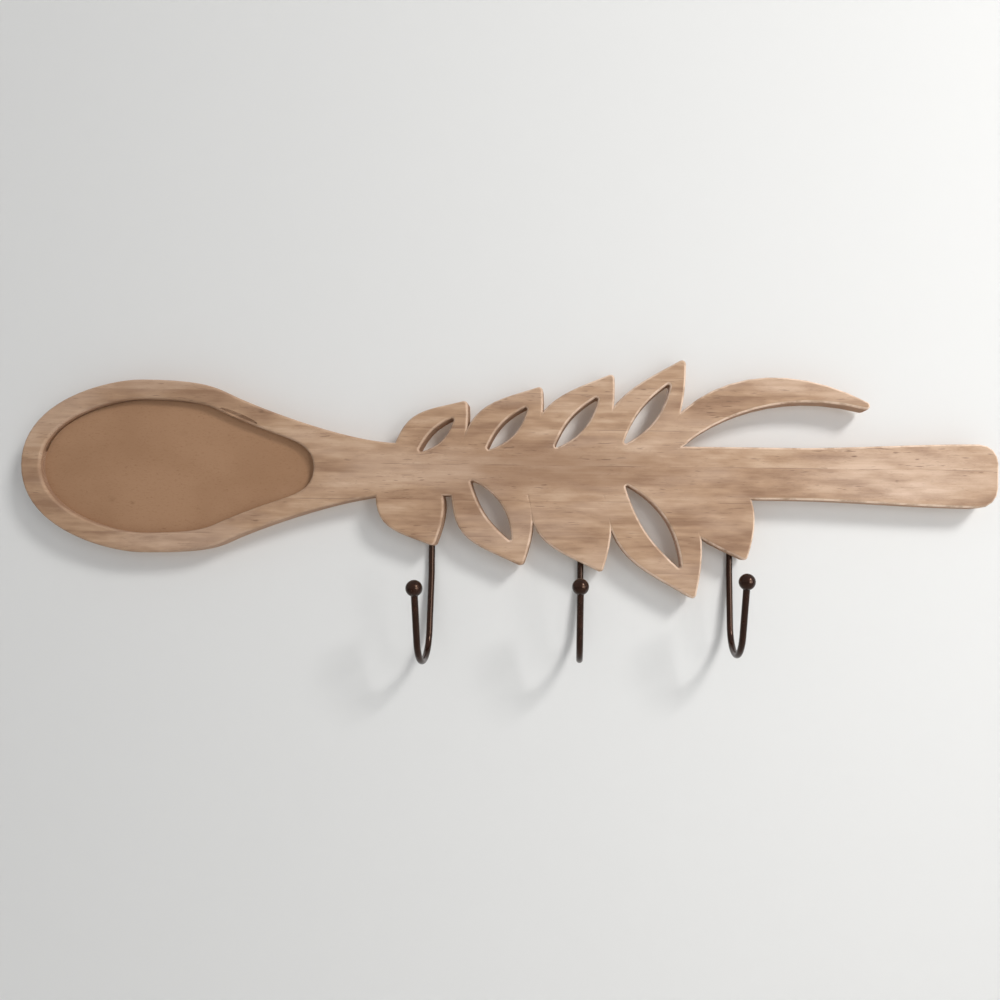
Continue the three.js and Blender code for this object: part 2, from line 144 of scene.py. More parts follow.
def activate(piece: Object) -> None:
    """Make a piece the only selected object and the active one.

    Args:
        piece: The piece.
    """
    deselect_all()
    piece.select_set(True)
    bpy.context.view_layer.objects.active = piece


@contextmanager
def editing(piece: Object, select: bool = False) -> Iterator[None]:
    """Edit mode on one piece.

    Args:
        piece: The piece.
        select: True if its whole mesh starts selected, and False if nothing does.

    Yields:
        Nothing, while the piece is in edit mode.
    """
    activate(piece)
    bpy.ops.object.mode_set(mode="EDIT")
    bpy.ops.mesh.select_mode(type="VERT")
    bpy.ops.mesh.select_all(action="SELECT" if select else "DESELECT")
    yield
    bpy.ops.object.mode_set(mode="OBJECT")


def choose(piece: Object, kind: Part, wanted: Callable[[Any], bool]) -> None:
    """In edit mode, select the parts of a mesh that a test picks, and nothing else.

    Args:
        piece: The piece in edit mode.
        kind: What is selected.
        wanted: The test, on one part.
    """
    bpy.ops.mesh.select_mode(type=kind.name)
    bpy.ops.mesh.select_all(action="DESELECT")
    shape = bmesh.from_edit_mesh(piece.data)
    for part in getattr(shape, kind.value):
        if wanted(part):
            part.select_set(True)
    bmesh.update_edit_mesh(piece.data)


def named(piece: Object, name: str) -> Object:
    """Name a piece and its mesh.

    Args:
        piece: The piece.
        name: The name of both.

    Returns:
        The piece.
    """
    piece.name = name
    piece.data.name = name
    return piece


def settle(piece: Object) -> Object:
    """Put a piece's place, turn and scale into its mesh.

    Args:
        piece: The piece.

    Returns:
        The piece, at the origin.
    """
    activate(piece)
    bpy.ops.object.transform_apply(location=True, rotation=True, scale=True)
    return piece


def start_piece(add: Callable[..., Any], name: str, **settings: Any) -> Object:
    """Add a primitive and put its place into its mesh.

    Args:
        add: The operator that adds it.
        name: The piece's name.
        settings: The operator's own settings.

    Returns:
        The new piece, at the origin.
    """
    deselect_all()
    add(**settings)
    return settle(named(bpy.context.object, name))


def extrude(offset: Vector) -> None:
    """Draw the selection out by an offset."""
    bpy.ops.mesh.extrude_region_move(TRANSFORM_OT_translate={"value": offset})


def apply_modifier(piece: Object, kind: str, **settings: Any) -> None:
    """Add a modifier and apply it.

    Args:
        piece: The piece.
        kind: The modifier's type.
        settings: The modifier's settings.
    """
    activate(piece)
    modifier = piece.modifiers.new(kind.lower(), kind)
    for key, value in settings.items():
        setattr(modifier, key, value)
    bpy.ops.object.modifier_apply(modifier=modifier.name)


def combine(piece: Object, other: Object, how: Solver) -> None:
    """Cut another solid from a piece or join it on, and remove the other."""
    apply_modifier(piece, "BOOLEAN", object=other, operation=how.value, solver="EXACT")
    bpy.data.objects.remove(other)


def smooth(piece: Object, degrees: float) -> None:
    """Shade a piece smooth, with edges sharper than an angle kept crisp."""
    activate(piece)
    bpy.ops.object.shade_smooth_by_angle(angle=math.radians(degrees))


def merged_copy(node: str, name: str) -> Object:
    """A copy of a CAD node whose loose triangles are merged into one skin.

    Args:
        node: The CAD node's name.
        name: The new piece's name.

    Returns:
        The new piece.
    """
    piece = bpy.data.objects.new(name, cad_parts[node].data.copy())
    bpy.context.scene.collection.objects.link(piece)
    piece.data.materials.clear()
    with editing(piece, select=True):
        bpy.ops.mesh.remove_doubles(threshold=MERGE_WITHIN)
    return named(piece, name)


def copied(master: Object, name: str, place: Vector, turn: float = 0.0) -> Object:
    """A copy of a piece with its own mesh, turned about its axis along Y and moved to its place.

    Args:
        master: The piece to copy, made at the origin.
        name: The copy's name.
        place: Where the copy's origin goes.
        turn: The turn about Y, in radians.

    Returns:
        The copy.
    """
    piece = bpy.data.objects.new(name, master.data.copy())
    bpy.context.scene.collection.objects.link(piece)
    piece.rotation_euler.y = turn
    piece.location = place
    return settle(named(piece, name))


def finish_piece(piece: Object, material: Material, node: str) -> None:
    """Dress a piece and tie it to the frame.

    Args:
        piece: The finished piece.
        material: What it is made of.
        node: The CAD node that it stands for.
    """
    piece.data.materials.clear()
    piece.data.materials.append(material)
    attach(piece, BODY)
    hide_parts(node)
    log.info("%s: %d faces", piece.name, len(piece.data.polygons))


class Graph:
    """Adds and links the nodes of one tree."""

    def __init__(self, tree: NodeTree) -> None:
        """Keep the tree that the nodes go into."""
        self.tree = tree

    def feed(self, socket: NodeSocket, value: Value) -> None:
        """Link a socket to another one, or set its own value.

        Args:
            socket: The input to feed.
            value: The output that feeds it, or its value.
        """
        if isinstance(value, NodeSocket):
            self.tree.links.new(value, socket)
        else:
            socket.default_value = value

    def node(self, kind: str, inputs: dict[str | int, Value] | None = None, **settings: Any) -> Node:
        """Add a node.

        Args:
            kind: The node's type.
            inputs: What feeds its inputs, by name or number.
            settings: Its other settings.

        Returns:
            The node.
        """
        node = self.tree.nodes.new(kind)
        for key, value in settings.items():
            setattr(node, key, value)
        for key, value in (inputs or {}).items():
            self.feed(node.inputs[key], value)
        return node

    def math(self, operation: str, *values: Value) -> NodeSocket:
        """The result of a sum on one, two or three numbers."""
        return self.node("ShaderNodeMath", dict(enumerate(values)), operation=operation).outputs[0]

    def times(self, first: Value, second: Value) -> NodeSocket:
        """The product of two numbers."""
        return self.math("MULTIPLY", first, second)

    def minus(self, first: Value, second: Value) -> NodeSocket:
        """What is left of a number without another one."""
        return self.math("SUBTRACT", first, second)

    def larger(self, first: Value, second: Value) -> NodeSocket:
        """The larger of two numbers."""
        return self.math("MAXIMUM", first, second)

    def ramp(self, value: Value, low: Value, high: Value, start: Value = 0.0, end: Value = 1.0) -> NodeSocket:
        """A number that runs smoothly from start to end as another one runs from low to high."""
        sockets = {"Value": value, "From Min": low, "From Max": high, "To Min": start, "To Max": end}
        return self.node("ShaderNodeMapRange", sockets, interpolation_type="SMOOTHSTEP").outputs["Result"]

    def mix(self, share: Value, first: Value, second: Value) -> NodeSocket:
        """Two colours mixed by the share of the second one."""
        return self.node("ShaderNodeMix", {0: share, 6: first, 7: second}, data_type="RGBA").outputs[2]

    def noise(
        self, place: Value, scale: float = 1.0, detail: float = 2.0, roughness: float = 0.5
    ) -> NodeSocket:
        """Soft noise around 0.5."""
        sockets = {"Vector": place, "Scale": scale, "Detail": detail, "Roughness": roughness}
        return self.node("ShaderNodeTexNoise", sockets).outputs[0]

    def vector(self, operation: str, first: Value, second: Value) -> NodeSocket:
        """The result of a sum on two vectors."""
        sockets = {0: first, 1: second}
        return self.node("ShaderNodeVectorMath", sockets, operation=operation).outputs["Vector"]

    def combined(self, x: Value, y: Value, z: Value) -> NodeSocket:
        """A vector from three numbers."""
        return self.node("ShaderNodeCombineXYZ", {"X": x, "Y": y, "Z": z}).outputs[0]

    def effect(self, group: NodeTree, **inputs: Value) -> Node:
        """Place a shared effect.

        Args:
            group: The effect.
            inputs: What feeds its inputs, by their names in lower case.

        Returns:
            Its node.
        """
        node = self.node("ShaderNodeGroup")
        node.node_tree = group
        for key, value in inputs.items():
            self.feed(node.inputs[key.capitalize()], value)
        return node


@dataclass(frozen=True)
class Effects:
    """The effects that the finishes share, as shader node groups."""

    grain: NodeTree
    dashes: NodeTree
    clouds: NodeTree
    edges: NodeTree
    mark: NodeTree


def new_effect(name: str, inputs: dict[str, float | None], outputs: list[str]) -> tuple[Graph, Node, Node]:
    """Start a shader node group.

    Args:
        name: The group's name.
        inputs: The inputs and their first values, where None is a vector.
        outputs: The outputs, all of them numbers.

    Returns:
        Its graph, and its input and output nodes.
    """
    tree = bpy.data.node_groups.new(name, "ShaderNodeTree")
    for key, value in inputs.items():
        kind = "NodeSocketVector" if value is None else "NodeSocketFloat"
        socket = tree.interface.new_socket(key, in_out="INPUT", socket_type=kind)
        if value is not None:
            socket.default_value = value
    for key in outputs:
        tree.interface.new_socket(key, in_out="OUTPUT", socket_type="NodeSocketFloat")
    graph = Graph(tree)
    return graph, graph.node("NodeGroupInput"), graph.node("NodeGroupOutput")


def drawn_out(graph: Graph, place: Value, length: Value, width: Value) -> NodeSocket:
    """A place drawn out along the grain, which is X, in steps of a length and a width."""
    return graph.vector("DIVIDE", place, graph.combined(length, width, width))


def seeded(graph: Graph, entry: Node, place: Value, step: float) -> NodeSocket:
    """A place moved by a group's seed, with so many steps for a seed of 1."""
    seed = graph.times(entry.outputs["Seed"], step)
    return graph.vector("ADD", place, graph.combined(seed, seed, seed))


def along_grain(graph: Graph, entry: Node, length: Value, width: Value) -> NodeSocket:
    """A group's place, drawn out along the grain and moved by its seed."""
    place = drawn_out(graph, entry.outputs["Place"], length, width)
    return seeded(graph, entry, place, 37.0)


def grain_effect(name: str, length: float, width: float, detail: float, roughness: float) -> NodeTree:
    """Soft noise drawn out along X, as long fibres or as patches of tone.

    Args:
        name: The group's name.
        length: Its usual length in millimetres.
        width: Its usual width in millimetres.
        detail: How many finer layers the noise has.
        roughness: How strong those are.

    Returns:
        The group.
    """
    sockets = {"Place": None, "Seed": 0.0, "Length": length, "Width": width}
    graph, entry, exit_ = new_effect(name, sockets, ["Value"])
    place = along_grain(graph, entry, entry.outputs["Length"], entry.outputs["Width"])
    graph.feed(exit_.inputs["Value"], graph.noise(place, detail=detail, roughness=roughness))
    return graph.tree


def dashes_effect() -> NodeTree:
    """Short dark dashes that lie along X in loose clusters.

    Returns:
        The group.
    """
    cluster_length, cluster_width = 5.0, 9.0
    clustered, softness = (0.44, 0.6), 0.09
    sockets = {"Place": None, "Seed": 0.0, "Length": 8.0, "Width": 1.0, "Threshold": 0.64}
    graph, entry, exit_ = new_effect("dashes", sockets, ["Mask"])
    length, width, threshold = (entry.outputs[key] for key in ("Length", "Width", "Threshold"))
    near = graph.noise(along_grain(graph, entry, length, width), detail=1.5)
    reach = graph.times(length, cluster_length), graph.times(width, cluster_width)
    cluster = graph.ramp(graph.noise(along_grain(graph, entry, *reach), detail=1.0), *clustered)
    dash = graph.ramp(near, threshold, graph.math("ADD", threshold, softness))
    graph.feed(exit_.inputs["Mask"], graph.times(dash, cluster))
    return graph.tree


def edges_effect() -> NodeTree:
    """The rounded edges, the sawn walls, the end grain and the back of a board that faces along Y.

    Returns:
        The group.
    """
    face_edge, breaks = (0.86, 0.994, 1.0, 0.0), (0.36, 0.6, 0.2, 1.0)
    wall_edge, end, back = (0.05, 0.3), (0.45, 0.85), (0.7, 0.95)
    outputs = ["Rounded", "Wall", "Back", "End"]
    graph, entry, exit_ = new_effect("board faces", {"Place": None, "Seed": 0.0}, outputs)
    normal = graph.node("ShaderNodeTexCoord").outputs["Normal"]
    along, across, _ = graph.node("ShaderNodeSeparateXYZ", {0: normal}).outputs
    facing = graph.math("ABSOLUTE", across)
    off_wall = graph.ramp(facing, *wall_edge)
    place = seeded(graph, entry, entry.outputs["Place"], 23.0)
    broken = graph.ramp(graph.noise(place, scale=0.085, detail=4.0, roughness=0.66), *breaks)
    rounded = graph.times(graph.times(graph.ramp(facing, *face_edge), off_wall), broken)
    graph.feed(exit_.inputs["Rounded"], rounded)
    wall = graph.minus(1.0, off_wall)
    graph.feed(exit_.inputs["Wall"], wall)
    graph.feed(exit_.inputs["End"], graph.times(wall, graph.ramp(graph.math("ABSOLUTE", along), *end)))
    graph.feed(exit_.inputs["Back"], graph.ramp(across, *back))
    return graph.tree


def mark_effect() -> NodeTree:
    """A single mark with a ragged edge, drawn out along X.

    Returns:
        The group.
    """
    through, notch_length, notch_width = 1000.0, 2.4, 0.6
    fade = (0.1, 0.5, 1.0, 0.0)
    sockets = {"Place": None, "Centre": None, "Length": 6.0, "Width": 1.6, "Ragged": 0.9}
    graph, entry, exit_ = new_effect("mark", sockets, ["Mask"])
    place, length, width = (entry.outputs[key] for key in ("Place", "Length", "Width"))
    away = graph.vector("SUBTRACT", place, entry.outputs["Centre"])
    share = graph.vector("DIVIDE", away, graph.combined(length, through, width))
    distance = graph.node("ShaderNodeVectorMath", {0: share}, operation="LENGTH").outputs["Value"]
    notches = graph.noise(drawn_out(graph, place, notch_length, notch_width), detail=3.0)
    distance = graph.math("MULTIPLY_ADD", graph.minus(notches, 0.5), entry.outputs["Ragged"], distance)
    graph.feed(exit_.inputs["Mask"], graph.ramp(distance, *fade))
    return graph.tree


def new_material(name: str) -> tuple[Material, Graph, Node]:
    """Start a material.

    Args:
        name: Its name.

    Returns:
        The material, its graph and its Principled shader.
    """
    material = bpy.data.materials.new(name)
    material.use_nodes = True
    shader = next(n for n in material.node_tree.nodes if n.type == "BSDF_PRINCIPLED")
    return material, Graph(material.node_tree), shader


@dataclass(frozen=True)
class Layer:
    """How a finish lays on a shared effect.

    Attributes:
        length: Its length along the grain, in millimetres.
        width: Its width, in millimetres.
        seed: Its seed, or None where it follows the strip of wood.
        share: How strongly it counts.
        threshold: For dashes, how high the noise rises before there is one.
    """

    length: float
    width: float
    seed: float | None = None
    share: float = 1.0
    threshold: float | None = None


@dataclass(frozen=True)
class Mark:
    """A mark on a face: its middle, reach along X and reach along Z in millimetres, and its strength."""

    x: float
    z: float
    length: float
    width: float
    strength: float


class Ground:
    """A new material and what its finish is laid on with.

    Attributes:
        material: The material.
        graph: Its graph.
        shader: Its Principled shader.
        effects: The shared effects.
        place: Where on the piece, in millimetres.
    """

    def __init__(self, name: str, effects: Effects) -> None:
        """Start the material.

        Args:
            name: Its name.
            effects: The shared effects.
        """
        self.material, self.graph, self.shader = new_material(name)
        self.effects = effects
        metres = self.graph.node("ShaderNodeTexCoord").outputs["Object"]
        sockets = {"Vector": metres, "Scale": Vector((1 / MM, 1 / MM, 1 / MM))}
        self.place = self.graph.node("ShaderNodeMapping", sockets).outputs[0]

    def laid(self, group: NodeTree, layer: Layer, strip_seed: Value = 0.0) -> NodeSocket:
        """Lay on a shared effect.

        Args:
            group: The effect.
            layer: How it is laid.
            strip_seed: The seed of the strip of wood.

        Returns:
            The effect's number.
        """
        inputs = {"length": layer.length, "width": layer.width}
        inputs["seed"] = strip_seed if layer.seed is None else layer.seed
        if layer.threshold is not None:
            inputs["threshold"] = layer.threshold
        return self.graph.effect(group, place=self.place, **inputs).outputs[0]

    def marks(self, marks: tuple[Mark, ...], ragged: float = 0.9) -> NodeSocket:
        """The strongest of several marks at each place.

        Args:
            marks: The marks.
            ragged: How ragged their edges are.

        Returns:
            Their mask.
        """
        total: Value = 0.0
        for mark in marks:
            inputs = {"centre": Vector((mark.x, 0.0, mark.z)), "length": mark.length, "width": mark.width}
            mask = self.graph.effect(self.effects.mark, place=self.place, ragged=ragged, **inputs).outputs[0]
            total = self.graph.larger(total, self.graph.times(mask, mark.strength))
        return total

    def dressed(
        self, colour: NodeSocket, roughness: NodeSocket, height: NodeSocket, relief: tuple[float, float]
    ) -> Material:
        """Give the finish to the shader.

        Args:
            colour: Its colour.
            roughness: Its roughness.
            height: The height of its surface.
            relief: How far that stands out, in metres, and how strongly it is lit.

        Returns:
            The material.
        """
        sockets = {"Height": height, "Distance": relief[0], "Strength": relief[1]}
        bump = self.graph.node("ShaderNodeBump", sockets).outputs["Normal"]
        for key, value in {"Base Color": colour, "Roughness": roughness, "Normal": bump}.items():
            self.graph.feed(self.shader.inputs[key], value)
        return self.material


@dataclass(frozen=True)
class WashedWood:
    """Pale washed wood: strips glued edge to edge, with soft grain, short dark dashes and pale sanded edges.

    A Ramp gives where a mask starts and ends, in a noise or in millimetres, and the shares that it has there.

    Attributes:
        deep: The grain at its darkest, also the colour of the painted shade.
        body: The grain between.
        pale: The grain at its palest.
        veil: The wash where it is rubbed pale, and the colour of the painted light on the handle's end.
        edge: The sanded edges.
        wall: The sawn walls, a little darker than the face, partly as painted shade.
        dash: The dark marks.
        raw: The wood of the back.
        pore: The rings and pores of the end grain.
        tone_stops: Where in the sum of the noises the three colours of the grain lie.
        strip_width: Width of a glued strip, in millimetres.
        strip_start: Height of one of the joints, in millimetres.
        strip_share: How strongly the tone of a strip counts.
        broad: Broad patches of tone.
        clouds: Small patches of tone.
        bands: Long bands of grain.
        fibres: Fine fibres.
        wash: Patches where the wash is thick.
        dashes: The dark dashes.
        flecks: Finer and shorter dashes.
        joint_clouds: Patches where the joints show.
        joint: Shade of a joint, by the distance from it.
        joint_shown: How the joints fade in those patches.
        wash_wear: How the wash fades in its patches.
        patch_wear: How the small patches of tone break up the rubbed and painted-light ones.
        fibre_wear: How the fibres break up all that is rubbed.
        edge_seed: Seed of the breaks in the sanded edges.
        edge_wear: How the fibres break up the sanded edges.
        sanded_and_lit_along: How strongly the edges are sanded pale, by the place along the rack, rising
            towards the handle's end as painted light and fading towards the bowl as painted shade.
        raw_share: How strongly the back shows raw wood.
        sawn: How the fibres break up the sawn walls.
        ring_share: How strongly growth rings show in the end grain.
        pore_length: Length of a pore, in millimetres.
        pore_width: Width of a pore, in millimetres.
        pored: How the pores show in the end grain.
        roughness: Roughness, by the fibres.
        relief: How far the fibres and the dark marks stand out, and how strongly that is lit.
        patch_raggedness: How ragged the rubbed and the shaded patches are.
        rubbed_and_lit_patches: Where the wood is rubbed pale, and partly painted light, strongest at the
            handle's end.
        painted_shade_patches: Painted shade: where the wood is darkened as though in shade, over the middle
            of the handle, along the upper side of the ring and at its left end.
        knots: The knots.
    """

    deep: Colour = srgb(147, 113, 87)
    body: Colour = srgb(175, 141, 112)
    pale: Colour = srgb(198, 167, 140)
    veil: Colour = srgb(224, 197, 176)
    edge: Colour = srgb(238, 212, 190)
    wall: Colour = srgb(160, 126, 101)
    dash: Colour = srgb(108, 79, 60)
    raw: Colour = srgb(190, 160, 130)
    pore: Colour = srgb(112, 80, 57)
    tone_stops: tuple[float, float, float] = (0.24, 0.5, 0.76)
    strip_width: float = 22.3
    strip_start: float = 3.2
    strip_share: float = 0.16
    broad: Layer = Layer(70.0, 18.0, seed=0.15, share=0.85)
    clouds: Layer = Layer(22.0, 5.2, share=0.8)
    bands: Layer = Layer(130.0, 3.8, share=0.5)
    fibres: Layer = Layer(18.0, 0.36, share=0.11)
    wash: Layer = Layer(95.0, 26.0, seed=0.77)
    dashes: Layer = Layer(8.5, 0.85, share=0.6, threshold=0.62)
    flecks: Layer = Layer(3.2, 0.34, seed=0.6, share=0.3, threshold=0.6)
    joint_clouds: Layer = Layer(28.0, 30.0, seed=0.3)
    joint: Ramp = (0.1, 0.4, 0.45, 0.0)
    joint_shown: Ramp = (0.44, 0.6)
    wash_wear: Ramp = (0.46, 0.66, 0.0, 0.25)
    patch_wear: Ramp = (0.3, 0.6, 0.6, 1.0)
    fibre_wear: Ramp = (0.3, 0.6, 0.75, 1.0)
    edge_seed: float = 0.35
    edge_wear: Ramp = (0.3, 0.6, 0.65, 0.95)
    # Painted light and shade: the pale sanded edges fade towards the bowl and are strongest at the handle's
    # end.
    sanded_and_lit_along: Ramp = (-160.0, 170.0, 0.12, 1.0)
    raw_share: float = 0.6
    sawn: Ramp = (0.3, 0.7, 0.8, 0.5)
    ring_share: float = 0.25
    pore_length: float = 6.0
    pore_width: float = 0.45
    pored: Ramp = (0.5, 0.75, 0.0, 0.6)
    roughness: Ramp = (0.3, 0.7, 0.86, 0.72)
    relief: tuple[float, float] = (0.25 * MM, 0.35)
    patch_raggedness: float = 0.2
    # Rubbed wear and painted light: the patches at the handle's end also paint the brighter light that falls
    # there.
    rubbed_and_lit_patches: tuple[Mark, ...] = (
        Mark(252.0, -9.0, 90.0, 22.0, 0.75),
        Mark(245.0, 0.0, 190.0, 60.0, 0.5),
        Mark(175.0, 55.0, 80.0, 18.0, 0.35),
        Mark(70.0, 62.0, 60.0, 20.0, 0.3),
        Mark(-70.0, -4.0, 60.0, 14.0, 0.2),
        Mark(-205.0, -46.0, 130.0, 28.0, 0.3),
    )
    # Painted shade: these patches darken the wood where shade fell, over the middle of the handle, the upper
    # side of the ring and its left end.
    painted_shade_patches: tuple[Mark, ...] = (
        Mark(20.0, 2.0, 240.0, 44.0, 0.6),
        Mark(-215.0, 52.0, 190.0, 34.0, 0.45),
        Mark(-300.0, 0.0, 70.0, 120.0, 0.15),
    )
    knots: tuple[Mark, ...] = (
        Mark(214.4, 11.3, 5.0, 1.5, 0.75),
        Mark(253.8, 9.9, 4.2, 1.2, 0.7),
        Mark(-155.0, 34.5, 5.5, 2.6, 0.6),
        Mark(-158.0, -33.4, 7.0, 1.8, 0.6),
        Mark(-101.0, 5.2, 6.0, 1.8, 0.35),
        Mark(117.0, 0.8, 5.0, 1.0, 0.5),
    )

    def build(self, effects: Effects) -> Material:
        """Make the material.

        Args:
            effects: The shared effects.

        Returns:
            The material.
        """
        ground = Ground("washed wood", effects)
        graph = ground.graph
        along, _, height = graph.node("ShaderNodeSeparateXYZ", {0: ground.place}).outputs
        strips = graph.math("DIVIDE", graph.minus(height, self.strip_start), self.strip_width)
        strip = graph.math("FLOOR", strips)
        seed = graph.node("ShaderNodeTexWhiteNoise", {"W": strip}, noise_dimensions="1D").outputs["Value"]
        clouds = ground.laid(effects.clouds, self.clouds, seed)
        fibres = ground.laid(effects.grain, self.fibres, seed)
        colour = self.grain_colour(ground, seed, clouds, fibres)
        # Painted shade: the shaded patches mix in the darkest grain colour.
        colour = graph.mix(ground.marks(self.painted_shade_patches, self.patch_raggedness), colour, self.deep)
        # Rubbed wear and painted light: paler where the wash is rubbed and where light is painted on.
        colour = graph.mix(self.rubbed(ground, clouds, fibres), colour, self.veil)
        dark = self.dark_marks(ground, seed, strips)
        colour = graph.mix(dark, colour, self.dash)
        faces = graph.effect(effects.edges, place=ground.place, seed=self.edge_seed).outputs
        colour = graph.mix(graph.times(faces["Back"], self.raw_share), colour, self.raw)
        # Sawn walls darkened, partly as painted shade on the walls.
        colour = graph.mix(graph.times(faces["Wall"], graph.ramp(fibres, *self.sawn)), colour, self.wall)
        colour = graph.mix(self.end_grain(ground, faces["End"]), colour, self.pore)
        worn = graph.times(faces["Rounded"], graph.ramp(fibres, *self.edge_wear))
        # Sanded edges, paler towards the handle's end as painted light and duller towards the bowl as painted
        # shade.
        colour = graph.mix(graph.times(worn, graph.ramp(along, *self.sanded_and_lit_along)), colour, self.edge)
        roughness = graph.ramp(fibres, *self.roughness)
        return ground.dressed(colour, roughness, graph.minus(fibres, dark), self.relief)

    def grain_colour(
        self, ground: Ground, seed: NodeSocket, clouds: NodeSocket, fibres: NodeSocket
    ) -> NodeSocket:
        """The colour of the grain.

        Args:
            ground: The material's ground.
            seed: The seed of the strip of wood.
            clouds: The noise of the small patches.
            fibres: The noise of the fibres.

        Returns:
            The colour.
        """
        graph, effects = ground.graph, ground.effects
        broad = ground.laid(effects.clouds, self.broad)
        bands = ground.laid(effects.grain, self.bands, seed)
        layers = (
            (seed, self.strip_share), (broad, self.broad.share), (clouds, self.clouds.share),
            (bands, self.bands.share), (fibres, self.fibres.share),
        )
        tone: Value = 0.5
        for noise, share in layers:
            tone = graph.math("MULTIPLY_ADD", graph.minus(noise, 0.5), share, tone)
        stops = graph.node("ShaderNodeValToRGB", {"Fac": tone})
        elements = stops.color_ramp.elements
        low, middle, high = self.tone_stops
        elements[0].color, elements[0].position = self.deep, low
        elements[1].color, elements[1].position = self.pale, high
        elements.new(middle).color = self.body
        return stops.outputs["Color"]

    def rubbed(self, ground: Ground, clouds: NodeSocket, fibres: NodeSocket) -> NodeSocket:
        """Mask of the wood that is rubbed pale, where the patches also paint light on the handle's end.

        Args:
            ground: The material's ground.
            clouds: The noise of the small patches.
            fibres: The noise of the fibres.

        Returns:
            The mask.
        """
        graph = ground.graph
        wash = ground.laid(ground.effects.clouds, self.wash)
        patches = ground.marks(self.rubbed_and_lit_patches, self.patch_raggedness)
        patches = graph.times(patches, graph.ramp(clouds, *self.patch_wear))
        pale = graph.larger(graph.ramp(wash, *self.wash_wear), patches)
        return graph.times(pale, graph.ramp(fibres, *self.fibre_wear))

    def end_grain(self, ground: Ground, shown: NodeSocket) -> NodeSocket:
        """Mask of the growth rings and pores on walls that the grain runs out of.

        Args:
            ground: The material's ground.
            shown: Mask of those walls.

        Returns:
            The mask.
        """
        graph = ground.graph
        numbers = {"Scale": 0.16, "Distortion": 3.0, "Detail": 2.0, "Detail Scale": 0.4}
        rings = graph.node("ShaderNodeTexWave", {"Vector": ground.place, **numbers}, wave_type="RINGS",
                           rings_direction="X")
        pores = graph.noise(drawn_out(graph, ground.place, self.pore_length, self.pore_width))
        faint_rings = graph.times(rings.outputs["Fac"], self.ring_share)
        both = graph.math("ADD", faint_rings, graph.ramp(pores, *self.pored))
        return graph.times(shown, both)

    def dark_marks(self, ground: Ground, seed: NodeSocket, strips: NodeSocket) -> NodeSocket:
        """Mask of the dashes, the flecks, the knots and the joints between the strips.

        Args:
            ground: The material's ground.
            seed: The seed of the strip of wood.
            strips: The height on the board, in strips.

        Returns:
            The mask.
        """
        graph, effects = ground.graph, ground.effects
        dashes = ground.laid(effects.dashes, self.dashes, seed)
        flecks = ground.laid(effects.dashes, self.flecks)
        nearest = graph.minus(graph.math("FRACT", graph.math("ADD", strips, 0.5)), 0.5)
        distance = graph.times(graph.math("ABSOLUTE", nearest), self.strip_width)
        shown = graph.ramp(ground.laid(effects.clouds, self.joint_clouds), *self.joint_shown)
        joints = graph.times(graph.ramp(distance, *self.joint), shown)
        dark = graph.larger(graph.times(dashes, self.dashes.share), joints)
        dark = graph.larger(dark, graph.times(flecks, self.flecks.share))
        return graph.larger(dark, ground.marks(self.knots))


@dataclass(frozen=True)
class Fibreboard:
    """Thin plain board with a smooth matt face and a few faint stains.

    Attributes:
        body: Its colour.
        pale: Its colour in paler patches.
        dark: The fibres, specks and stains.
        clouds: The paler patches.
        fibres: The pressed fibres.
        specks: Small dark specks.
        clouded: How the patches fade.
        fibrous: How the fibres show.
        roughness: Roughness, by the fibres.
        relief: How far the fibres stand out, and how strongly that is lit.
        stains: The stains.
    """

    body: Colour = srgb(154, 116, 85)
    pale: Colour = srgb(164, 126, 95)
    dark: Colour = srgb(128, 92, 64)
    clouds: Layer = Layer(46.0, 34.0, seed=0.7)
    fibres: Layer = Layer(1.9, 0.8, seed=0.2)
    specks: Layer = Layer(2.2, 1.2, seed=0.5, share=0.3, threshold=0.64)
    clouded: Ramp = (0.3, 0.7)
    fibrous: Ramp = (0.52, 0.74, 0.0, 0.3)
    roughness: Ramp = (0.3, 0.7, 0.82, 0.92)
    relief: tuple[float, float] = (0.05 * MM, 0.5)
    stains: tuple[Mark, ...] = (
        Mark(-237.5, -23.0, 4.5, 3.6, 0.55),
        Mark(-250.0, -21.0, 7.0, 5.0, 0.3),
        Mark(-217.5, -39.0, 3.6, 1.4, 0.5),
        Mark(-206.0, 21.0, 8.0, 5.0, 0.12),
    )

    def build(self, effects: Effects) -> Material:
        """Make the material.

        Args:
            effects: The shared effects.

        Returns:
            The material.
        """
        ground = Ground("fibreboard", effects)
        graph = ground.graph
        clouds = ground.laid(effects.clouds, self.clouds)
        fibres = ground.laid(effects.grain, self.fibres)
        specks = ground.laid(effects.dashes, self.specks)
        colour = graph.mix(graph.ramp(clouds, *self.clouded), self.body, self.pale)
        colour = graph.mix(graph.ramp(fibres, *self.fibrous), colour, self.dark)
        dark = graph.larger(graph.times(specks, self.specks.share), ground.marks(self.stains))
        colour = graph.mix(dark, colour, self.dark)
        return ground.dressed(colour, graph.ramp(fibres, *self.roughness), fibres, self.relief)


